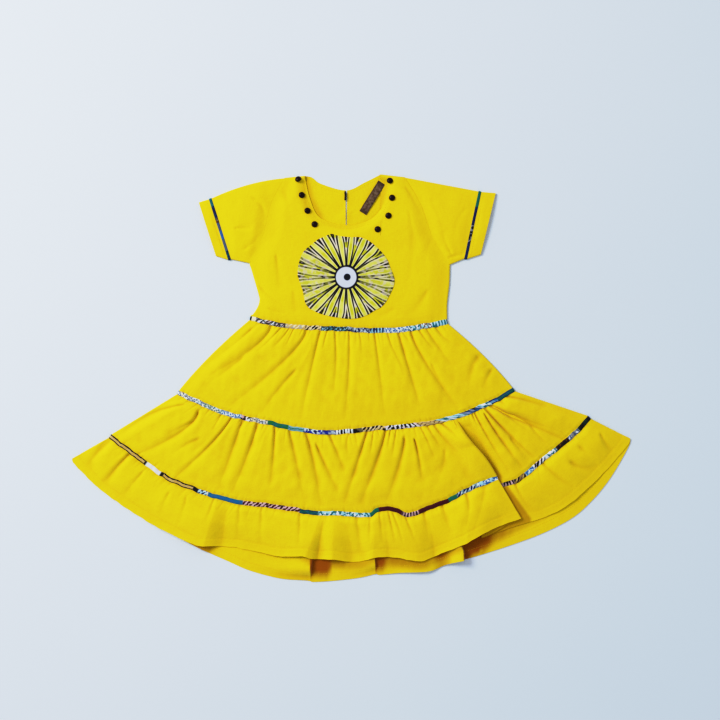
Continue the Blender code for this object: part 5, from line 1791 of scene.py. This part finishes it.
@dataclass
class Sleeve:
    """A short sleeve, its piping and its cuff band: flattened tubes from the armhole out."""

    side: str
    armhole: Path
    piping: Path
    cuff: Path
    bulge: float
    creases: Sequence[Crease]
    print_stretches: Sequence[Stretch]
    loft: float = 2.6
    front_columns: int = 64
    bend_columns: int = 7
    bend_radius: float = (FRONT_MID - BACK_MID) / 2

    def __post_init__(self) -> None:
        """Runs smooth lines through its three tables."""
        upward = self.armhole if self.armhole[0][1] < self.armhole[-1][1] else self.armhole[::-1]
        tables = {"armhole": upward, "piping": self.piping, "cuff": self.cuff}
        self.lines = {name: SmoothLine(table) for name, table in tables.items()}
        self.outward = -1.0 if self.side == "left" else 1.0

    def line(self, name: str, across: Array, offset: float) -> Array:
        """Places across the tube on one of its lines, moved outward along the sleeve."""
        return self.lines[name].beside(across, offset * self.outward)

    def section(self, width: float, lift: float) -> tuple[Array, Array, Array]:
        """The flattened tube's section: front, upper bend, back, lower bend.

        Args:
            width: Width of the tube.
            lift: How far its front stands over its back.

        Returns:
            Across share and height of each point, and 1 on the front, 0 elsewhere.
        """
        shares = np.linspace(0, 1, self.front_columns + 2)[1:-1]
        angles = np.linspace(90, -90, self.bend_columns) * math.pi / 180
        inset = (CLOTH / 2 + self.bend_radius) / width
        middle = (FRONT_MID + BACK_MID) / 2
        turned = self.bend_radius * np.cos(angles) / width
        bend_height = middle + self.bend_radius * np.sin(angles)
        front = inset + (1 - 2 * inset) * shares
        across = np.concatenate([front, 1 - inset + turned, front[::-1], inset - turned[::-1]])
        lifted = FRONT_MID + np.minimum(lift, 0.0) + max(lift, 0.0) * np.sin(np.pi * shares) ** 0.8
        flat = np.full(len(front), BACK_MID)
        height = np.concatenate([lifted, bend_height, flat, bend_height[::-1]])
        on_front = np.zeros(len(across))
        on_front[: len(front)] = ease(np.minimum(shares, 1 - shares) * 12)
        return across, height, on_front

    def tube(self, inner: tuple[str, float], outer: tuple[str, float], shares: Array, lifts: Array) -> Array:
        """Rings of points from the inner line to the outer line.

        Args:
            inner: Name of the inner line, and how far outward of it the tube starts.
            outer: Name of the outer line, and how far outward of it the tube ends.
            shares: Shares of the way for the rings.
            lifts: Lift of each ring.

        Returns:
            Points round the tube by ring, without a repeated last column.
        """
        rings = []
        for share, lift in zip(shares, lifts):
            (start, start_offset), (stop, stop_offset) = inner, outer
            low, high = (
                (1 - share) * self.line(start, end, start_offset) + share * self.line(stop, end, stop_offset)
                for end in (0.0, 1.0)
            )
            across, height, on_front = self.section(float(np.linalg.norm(high - low)), float(lift))
            flat = (1 - share) * self.line(start, across, start_offset)
            flat = flat + share * self.line(stop, across, stop_offset)
            if start == "armhole":
                flat[:, 1] += self.bulge * 4 * share * (1 - share) * ease(across * 2 - 1)
            x, y = flat[:, 0], flat[:, 1]
            dents = sum_of_dents(self.creases, x, y) - 0.25 * swell(x, y, 30.0, 21)
            dents = np.minimum(dents * ease(share * 6) * ease((1 - share) * 6), max(lift, 0.0) + 0.9)
            rings.append(np.column_stack([flat, height - dents * on_front]))
        return np.stack(rings, axis=1)

    def build(self, wardrobe: Wardrobe) -> None:
        """Makes the sleeve, its piping and its cuff band, with the stitches round the band."""
        sleeve, cuff, edge = f"sleeve_{self.side}", f"cuff_{self.side}", SLEEVE_PIPING_HALF - 0.4
        shares = np.concatenate([[0.0, 0.01, 0.022, 0.036], np.linspace(0.055, 1, 44)])
        lifts = self.loft * ease(shares / 0.3) * (0.3 + 0.7 * ease((1 - shares) / 0.3))
        lifts = np.where(shares > 0.01, lifts, lifts - 0.35 * (1 - shares / 0.01))
        points = self.tube(("armhole", -0.5), ("piping", -edge), shares, lifts)
        mesh = shell_mesh(f"{sleeve}_cloth", points, CLOTH, cloth_places(points, wrap=True), wrap=True)
        wardrobe.cloth(mesh, "cotton", sleeve, "laid", "floor", (230.0, 110.0), share=0.62)
        shares = np.linspace(0, 1, 18)
        lifts = SEAM_LIFT + 0.9 * ease(shares / 0.5)
        points = self.tube(("piping", edge), ("cuff", 0.0), shares, lifts)
        mesh = shell_mesh(f"{cuff}_cloth", points, CLOTH, cloth_places(points, wrap=True), wrap=True)
        wardrobe.cloth(mesh, "cotton", f"cuff_band_{self.side}", "laid", "floor", (180.0, 18.0))
        rings = self.tube(("piping", edge + 4.0), ("cuff", 0.0), np.array([0.0, 1.0]), lifts[:2] + 0.4)
        run = rings[: self.front_columns, 0] + np.array([0, 0, CLOTH / 2])
        wardrobe.sew(f"cuff_stitching_{self.side}", [run])
        across = np.linspace(-1, 1, 9)
        ends = ("piping", -SLEEVE_PIPING_HALF), ("piping", SLEEVE_PIPING_HALF)
        strip = self.tube(*ends, (across + 1) / 2, SEAM_LIFT + 0 * across)
        raised = SLEEVE_PIPING_RISE * oval(across) - 0.25
        strip = strip + self.outside(strip) * raised[None, :, None]
        strip[..., 2] = np.maximum(strip[..., 2], CLOTH / 2)
        places = strip_places(strip, SLEEVE_PIPING_HALF, wrap=True)
        mesh = shell_mesh(f"sleeve_piping_{self.side}_cloth", strip, CLOTH, places, wrap=True)
        print_strip(mesh, strip[:, 4, 1], 9, self.print_stretches)
        node, cut = f"sleeve_piping_{self.side}", (190.0, 10.0)
        wardrobe.cloth(mesh, "strip", node, "stretched", f"{sleeve}_cloth", cut, share=0.5)

    def outside(self, strip: Array) -> Array:
        """Normals of the tube that point away from its middle."""
        around = np.roll(strip, -1, axis=0) - np.roll(strip, 1, axis=0)
        normal = unit(np.cross(around, np.gradient(strip, axis=1)))
        away = strip - strip.mean(axis=0, keepdims=True)
        return normal * np.sign((normal * away).sum())


# --- piping ---


def oval(across: Array) -> Array:
    """Height share of a piping's section, from -1 at one edge to 1 at the other."""
    return np.sqrt(np.maximum(1 - np.abs(across) ** 2.4, 0))


def strip_places(strip: Array, half: float, wrap: bool = False) -> Array:
    """Places on a printed strip: length along its middle and distance from it.

    Args:
        strip: Points of the strip.
        half: Half its width.
        wrap: The last column joins the first.

    Returns:
        The place of each point, in millimetres.
    """
    middle = strip[:, strip.shape[1] // 2]
    if wrap:
        middle = np.concatenate([middle, middle[:1]])
    along = np.concatenate([[0.0], np.cumsum(np.linalg.norm(np.diff(middle, axis=0), axis=1))])
    return np.stack(np.meshgrid(along, np.linspace(-half, half, strip.shape[1]), indexing="ij"), axis=-1)


def print_strip(mesh: bpy.types.Mesh, where: Array, rows: int, stretches: Sequence[Stretch]) -> None:
    """Gives a strip's points the colours and marks of the stretch that they are in.

    Args:
        mesh: Shell of the strip.
        where: Place of each column, in the measure that the stretches use.
        rows: Points across the strip.
        stretches: The stretches in order.
    """
    ends = np.array([stretch.end for stretch in stretches])
    chosen = np.minimum(np.searchsorted(ends, where), len(stretches) - 1)
    tables = {name: [getattr(row, name).value for row in stretches] for name in ("ground", "ink", "accent")}
    tables["lines"] = [(*row.motif.value[:3], 0.0) for row in stretches]
    tables["marks"] = [row.motif.value[3:] for row in stretches]
    for name, table in tables.items():
        colours = np.repeat(np.array(table, float)[chosen], rows, axis=0)
        paint(mesh, name, np.concatenate([colours, colours]))


@dataclass
class Piping:
    """The printed strips in the waist seam and between the tiers, each in a front and a back length."""

    tiers: Sequence[Tier]
    bodice: Bodice
    columns: int = 460
    rows: int = 9

    def strip(self, above: Array, below: Array, rise: Array, wider: Array | float = 1.0) -> Array:
        """A strip bowed up between two seam edges: half an oval across, squeezed a little unevenly.

        Args:
            above: Points of the upper panel's edge.
            below: Points of the lower panel's edge.
            rise: Height of its middle for each column.
            wider: How many times its usual width each column is.

        Returns:
            Points by column and row.
        """
        across = np.linspace(-1, 1, self.rows)
        wide = np.broadcast_to(np.asarray(wider, float), rise.shape)[:, None, None]
        reach = 0.5 + 0.5 * across[None, :, None] * (PIPING_HALF / SEAM_EDGE) * wide
        flat = above[:, None] * (1 - reach) + below[:, None] * reach
        along = unit(np.gradient(flat[:, self.rows // 2], axis=0))
        over = unit(below - above)
        normal = unit(np.cross(over, along))
        raised = rise[:, None] * oval(across)[None, :] - 0.15
        return flat + normal[:, None] * raised[..., None]

    def build(self, wardrobe: Wardrobe) -> None:
        """Makes the six strips."""
        prints = {"waist": WAIST_PRINT, "middle": MIDDLE_PRINT, "low": LOW_PRINT}
        for number, (name, stretches) in enumerate(prints.items()):
            self.front_strip(wardrobe, number, name, stretches)
            self.back_strip(wardrobe, number, name)

    def edges(self, number: int, stations: Array, front: bool) -> tuple[Array, Array]:
        """Points of the edges of the panels above and below a seam.

        Args:
            number: Number of the seam, from 0 at the waist.
            stations: Stations of the points.
            front: The front panels, not the back ones.

        Returns:
            The upper panel's edge and the lower one's.
        """
        faces = [tier.front if front else tier.back for tier in self.tiers]
        below = faces[number](stations[:, None], np.array([[0.0, 0.5, 1.0]]))[:, 0]
        if number == 0:
            return self.bodice.foot(stations, front), below
        return faces[number - 1](stations[:, None], np.array([[0.0, 0.5, 1.0]]))[:, 2], below

    def front_strip(self, wardrobe: Wardrobe, number: int, name: str, stretches: Sequence[Stretch]) -> None:
        """Makes a seam's strip across the front. The low one runs into the pleat and out again.

        Args:
            wardrobe: The finishes.
            number: Number of the seam, from 0 at the waist.
            name: Its name.
            stretches: Its print.
        """
        length = FRONT_SEAMS[number].length
        stations = beside_sides(np.linspace(0.006, 0.994, self.columns), length)
        if name == "low":
            stations = with_pleat(stations, 0.0005)
        rise = PIPING_RISE * np.sqrt(rolled(np.minimum(stations, 1 - stations) * length, 4.0))
        rise = rise * (1 + 0.12 * swell(stations * length, 0 * stations, 11.0, 60 + number))
        if name == "low":
            left, right = PLEAT_LIP - stations, stations - PLEAT_RETURN - PLEAT_HIDDEN[0]
            rise = rise * ease(np.maximum(left, right) / 0.012)
        wider = 1 + 0.2 * ease((stations - 0.4) / 0.4) * (name == "waist")
        strip = self.strip(*self.edges(number, stations, front=True), rise, wider)
        where = strip[:, self.rows // 2, 0]
        if name == "low":
            stretches = [*stretches, *(row._replace(end=row.end + 1000) for row in LOW_RIGHT_PRINT)]
            where = np.where(stations > (PLEAT_LIP + PLEAT_RETURN) / 2, where + 1000, where)
        mesh = shell_mesh(f"{name}_piping_front_cloth", strip, CLOTH, strip_places(strip, PIPING_HALF))
        print_strip(mesh, where, self.rows, stretches)
        under, cut = f"tier_{number + 1}_front_cloth", (length * 1.02, 10.0)
        wardrobe.cloth(mesh, "strip", f"{name}_piping_front", "stretched", under, cut, share=0.75)

    def back_strip(self, wardrobe: Wardrobe, number: int, name: str) -> None:
        """Makes a seam's strip across the back: flat, with the same motifs in another order.

        Args:
            wardrobe: The finishes.
            number: Number of the seam, from 0 at the waist.
            name: Its name.
        """
        length = BACK_SEAMS[number].length
        stations = beside_sides(np.linspace(0.006, 0.994, self.columns // 2), length)
        strip = self.strip(*self.edges(number, stations, front=False), np.full(len(stations), 0.15))
        strip[..., 2] = np.maximum(strip[..., 2], CLOTH / 2)
        mesh = shell_mesh(f"{name}_piping_back_cloth", strip, CLOTH, strip_places(strip, PIPING_HALF))
        order = [*MIDDLE_PRINT, *WAIST_PRINT, *LOW_PRINT]
        rng = np.random.default_rng(90 + number)
        ends = np.cumsum(rng.uniform(14, 50, 40)) - 400
        picks = rng.integers(0, len(order), 40)
        stretches = [order[int(k)]._replace(end=float(end)) for k, end in zip(picks, ends)]
        print_strip(mesh, strip[:, self.rows // 2, 0], self.rows, stretches)
        cut = length * 1.02, 10.0
        wardrobe.cloth(mesh, "strip", f"{name}_piping_back", "stretched", "floor", cut, share=0.65)


# --- trims ---


@dataclass
class Trims:
    """What is sewn or set on the bodice: the disc, the label, the loop and the studs."""

    bodice: Bodice
    disc_centre: tuple[float, float] = (-7.0, 141.0)
    disc_half_width: float = 68.5
    disc_half_height: float = 58.0
    disc_wall: float = 0.7
    label_length: float = 50.0
    label_width: float = 11.0
    label_centre: tuple[float, float] = (29.5, 252.5)
    label_turn: float = math.radians(58)
    stud_radius: float = 4.2
    stud_height: float = 3.0
    stud_rim: float = 0.7
    stud_lean: float = 0.5  # of the two on the shoulders
    loop_centre: tuple[float, float] = (-8.6, 255.0)
    loop_length: float = 13.0
    loop_radius: float = 1.45
    loop_bow: float = 0.6

    def build(self, wardrobe: Wardrobe) -> None:
        """Makes every trim."""
        self.disc(wardrobe)
        self.label(wardrobe)
        self.loop(wardrobe)
        self.studs(wardrobe)

    def outline(self, turn: Array, radius: Array) -> Array:
        """How far the disc's edge, cut by hand, runs outside a true oval: a few low bumps."""
        bumps = 0.012 * np.sin(5 * turn + 0.6) + 0.008 * np.sin(9 * turn + 2.0)
        for place, half, size in DISC_BUMPS:
            bumps += size * bell((turn - place) / half)
        return 1 + bumps * radius**3

    def disc(self, wardrobe: Wardrobe) -> None:
        """The round applique: a square grid rounded to an ellipse on the bodice's face, and its stitches."""
        run = np.linspace(-1, 1, 84)
        u, v = np.meshgrid(run, run, indexing="ij")
        round_u, round_v = u * np.sqrt(1 - v * v / 2), v * np.sqrt(1 - u * u / 2)
        reach = self.outline(np.arctan2(round_v, round_u), np.hypot(round_u, round_v))
        x = self.disc_centre[0] + self.disc_half_width * round_u * reach
        y = self.disc_centre[1] + self.disc_half_height * round_v * reach
        edge = 1 - np.sqrt(round_u**2 + round_v**2)
        puff = 0.35 * ease(edge / 0.05) + 0.1 * swell(x, y, 24.0, 31)
        points = self.bodice.on_front(x, y, self.disc_wall / 2 + 0.05)
        points[..., 2] += puff
        places = np.stack([round_u, round_v], axis=-1)
        mesh = shell_mesh("sunburst_applique_cloth", points, self.disc_wall, places)
        cut = 2 * self.disc_half_width, 2 * self.disc_half_height
        wardrobe.cloth(mesh, "sunburst", "sunburst_applique", "laid", "bodice_front_cloth", cut, share=0.78)
        turn = np.linspace(-math.pi, math.pi, 400)
        reach = self.outline(turn, np.ones_like(turn))
        x = self.disc_centre[0] + (self.disc_half_width * reach - 2.4) * np.cos(turn)
        y = self.disc_centre[1] + (self.disc_half_height * reach - 2.4) * np.sin(turn)
        run = self.bodice.on_front(x, y, self.disc_wall + 0.3)
        wardrobe.sew("disc_stitching", [run], DISC_STITCH)

    def label(self, wardrobe: Wardrobe) -> None:
        """The bare woven label inside the back of the neck, puffed a little between its sewn ends."""
        u, v = np.meshgrid(np.linspace(-0.5, 0.5, 60), np.linspace(-0.5, 0.5, 14), indexing="ij")
        along, across = u * self.label_length, v * self.label_width
        x = self.label_centre[0] + along * math.cos(self.label_turn) - across * math.sin(self.label_turn)
        y = self.label_centre[1] + along * math.sin(self.label_turn) + across * math.cos(self.label_turn)
        height = 1.55 + 0.5 * np.cos(math.pi * u) * (1 + 0.3 * np.cos(math.pi * v))
        points = np.stack([x, y, height], axis=-1)
        mesh = shell_mesh("neck_label_cloth", points, 0.5, cloth_places(points))
        cut = self.label_length, self.label_width
        wardrobe.cloth(mesh, "label", "neck_label", "laid", "bodice_back_cloth", cut)

    def loop(self, wardrobe: Wardrobe) -> None:
        """The loop at the slit: a two-strand cord, whose section is an oval that turns along it."""
        share = np.linspace(-0.5, 0.5, 60)
        x = self.loop_centre[0] + self.loop_bow * np.cos(math.pi * share)
        y = self.loop_centre[1] + self.loop_length * share
        path = np.column_stack([x, y, np.full_like(x, 1.5 + self.loop_radius)])
        turns = np.linspace(0, math.tau, 16, endpoint=False)
        ends = np.sqrt(np.clip(1 - np.abs(2 * share) ** 8, 0.05, 1))[:, None]
        radii = self.loop_radius * (0.72 + 0.28 * np.abs(np.cos(turns)))[None, :] * ends
        mesh = tube_mesh("back_loop_cord", path, radii, twist=share * 9 * math.pi, sides=16)
        wardrobe.dress("back_loop_cord", mesh, "cord", "back_loop")

    def studs(self, wardrobe: Wardrobe) -> None:
        """Eight domed studs, each a turned profile set square to the cloth under it."""
        angles = np.linspace(90, 0, 12) * math.pi / 180
        dome = self.stud_height - self.stud_rim
        rim = self.stud_radius * 1.04
        radius = np.concatenate([self.stud_radius * np.cos(angles), [rim, rim, 0.0]])
        height = np.concatenate([self.stud_rim + dome * np.sin(angles), [self.stud_rim * 0.6, 0.0, 0.0]])
        turns = np.linspace(0, math.tau, 40, endpoint=False)
        loops = ring_loops(len(radius), 40, inside_out=True)
        step = 2.0
        lift = self.bodice.lift
        for number, place in enumerate(STUDS, start=1):
            x, y = np.array(place, float)[:, None]
            slope_x = float((lift(x + step, y) - lift(x - step, y))[0] / (2 * step))
            slope_y = float((lift(x, y + step) - lift(x, y - step))[0] / (2 * step))
            over = self.stud_lean if place[1] > 270 else 0.0
            up = unit(np.array([-slope_x + 0.6 * over * np.sign(place[0]), -slope_y + over, 1.0]))
            right = unit(np.cross(np.array([0.0, 1.0, 0.0]), up))
            ahead = np.cross(up, right)
            centre = self.bodice.on_front(x, y, 0.1 + 1.5 * over)[0]
            points = centre + radius[:, None, None] * circle(turns, right, ahead) + height[:, None, None] * up
            mesh = quads_mesh(f"stud_{number}_dome", points.reshape(-1, 3), loops)
            wardrobe.dress(f"stud_{number}_dome", mesh, "stud", f"stud_{number}")


def hem_stitching(tier: Tier, wardrobe: Wardrobe) -> None:
    """Makes the stitches that hold the turned hem, on the front's face and on the back's inner face."""
    stations = np.linspace(0.006, 0.994, 1400)
    high, low = (np.array([[0.0, 1 - HEM_TURN / deep, 1.0]]) for deep in (HEM_FRONT_DEPTH, HEM_BACK_DEPTH))
    front = tier.front(stations[:, None], high)[:, 1] + np.array([0, 0, CLOTH / 2 + ON_TOP])
    over = stations < PLEAT_LIP - 0.002
    shown = stations > PLEAT_RETURN + PLEAT_HIDDEN[1] + 0.004
    back = tier.back(stations[:, None], low)[:, 1] + np.array([0, 0, HEM_WALL / 2 + ON_TOP])
    wardrobe.sew("hem_stitching", [front[over], front[shown], back], HEM_STITCH)


# --- the studio ---


@dataclass(frozen=True)
class Studio:
    """The pale floor, the soft lights and the camera straight above the dress."""

    camera_place: tuple[float, float, float] = (0.0123, 0.0256, 1.596)
    lens: float = 57.0
    ambient: float = 0.45
    key_place: tuple[float, float, float] = (-2.1, 1.3, 2.0)
    key_power: float = 54.0
    key_size: float = 1.3
    tone: Sequence[tuple[float, float]] = (
        (0.08, 0.0545), (0.16, 0.134), (0.24, 0.227), (0.32, 0.331), (0.40, 0.442), (0.48, 0.56),
        (0.56, 0.674), (0.64, 0.745), (0.72, 0.795), (0.80, 0.834),
    )  # fmt: skip

    def build(self, wardrobe: Wardrobe) -> None:
        """Makes the floor, the world light, the key light and the camera."""
        scene = bpy.context.scene
        scene.view_settings.view_transform = "Standard"
        scene.view_settings.use_curve_mapping = True
        curves = scene.view_settings.curve_mapping
        tone = curves.curves[3]
        tone.points[-1].location = (1.0, 0.9)
        for place in self.tone:
            tone.points.new(*place)
        curves.update()
        mesh = bpy.data.meshes.new("floor")
        corners = [(4 * x, 4 * y, -0.0003) for x, y in ((-1, -1), (1, -1), (1, 1), (-1, 1))]
        mesh.from_pydata(corners, [], [(0, 1, 2, 3)])
        mesh.materials.append(wardrobe.materials["floor"])
        floor = bpy.data.objects.new("floor", mesh)
        scene.collection.objects.link(floor)
        world = bpy.data.worlds.new("studio_light")
        world.use_nodes = True
        world.node_tree.nodes["Background"].inputs["Color"].default_value = (0.94, 0.99, 1.05, 1.0)
        world.node_tree.nodes["Background"].inputs["Strength"].default_value = self.ambient
        scene.world = world
        lamp = bpy.data.lights.new("soft_key", "AREA")
        lamp.shape = "DISK"
        lamp.size = self.key_size
        lamp.energy = self.key_power
        key = bpy.data.objects.new("soft_key", lamp)
        key.location = self.key_place
        aim = np.array([0.05, 0.0, 0.0]) - np.array(self.key_place)
        flat = float(np.hypot(aim[0], aim[1]))
        key.rotation_euler = (math.atan2(flat, -aim[2]), 0.0, math.atan2(-aim[0], aim[1]))
        scene.collection.objects.link(key)
        lens = bpy.data.cameras.new("camera")
        lens.lens = self.lens
        lens.sensor_width = 36.0
        camera = bpy.data.objects.new("camera", lens)
        camera.location = self.camera_place
        scene.collection.objects.link(camera)
        scene.camera = camera


def main() -> None:
    """Builds the dress piece by piece, then the studio."""
    logging.basicConfig(level=logging.INFO, format="%(name)s %(message)s")
    wardrobe = Wardrobe()
    tiers = [
        Tier(1, 3.0, TIER_1_CREASES, 500, 84, (500.0, 145.0), Gathers(7.0, 0.8, 22.0, 1.5, 1),
             Gathers(30.0, 1.4, 120.0, 5.0, 51), bow=5.0),
        Tier(2, 3.4, TIER_2_CREASES, 580, 66, (775.0, 118.0), Gathers(7.0, 0.9, 20.0, 1.5, 2),
             Gathers(30.0, 1.4, 100.0, 5.0, 52)),
        Tier(3, 2.6, TIER_3_CREASES, 640, 48, (1000.0, 80.0), Gathers(8.0, 0.6, 16.0, 1.5, 3),
             Gathers(40.0, 1.2, 70.0, 6.0, 53)),
    ]
    for tier in tiers:
        tier.build(wardrobe)
    bodice = Bodice()
    bodice.build(wardrobe)
    Piping(tiers, bodice).build(wardrobe)
    Sleeve(
        "left", LEFT_ARMHOLE, LEFT_SLEEVE_PIPING, LEFT_CUFF, 5.0, LEFT_SLEEVE_CREASES, LEFT_SLEEVE_PRINT
    ).build(wardrobe)
    Sleeve(
        "right", RIGHT_ARMHOLE, RIGHT_SLEEVE_PIPING, RIGHT_CUFF, 0.0, RIGHT_SLEEVE_CREASES, RIGHT_SLEEVE_PRINT
    ).build(wardrobe)
    Trims(bodice).build(wardrobe)
    hem_stitching(tiers[2], wardrobe)
    Studio().build(wardrobe)


if __name__ == "__main__":
    main()
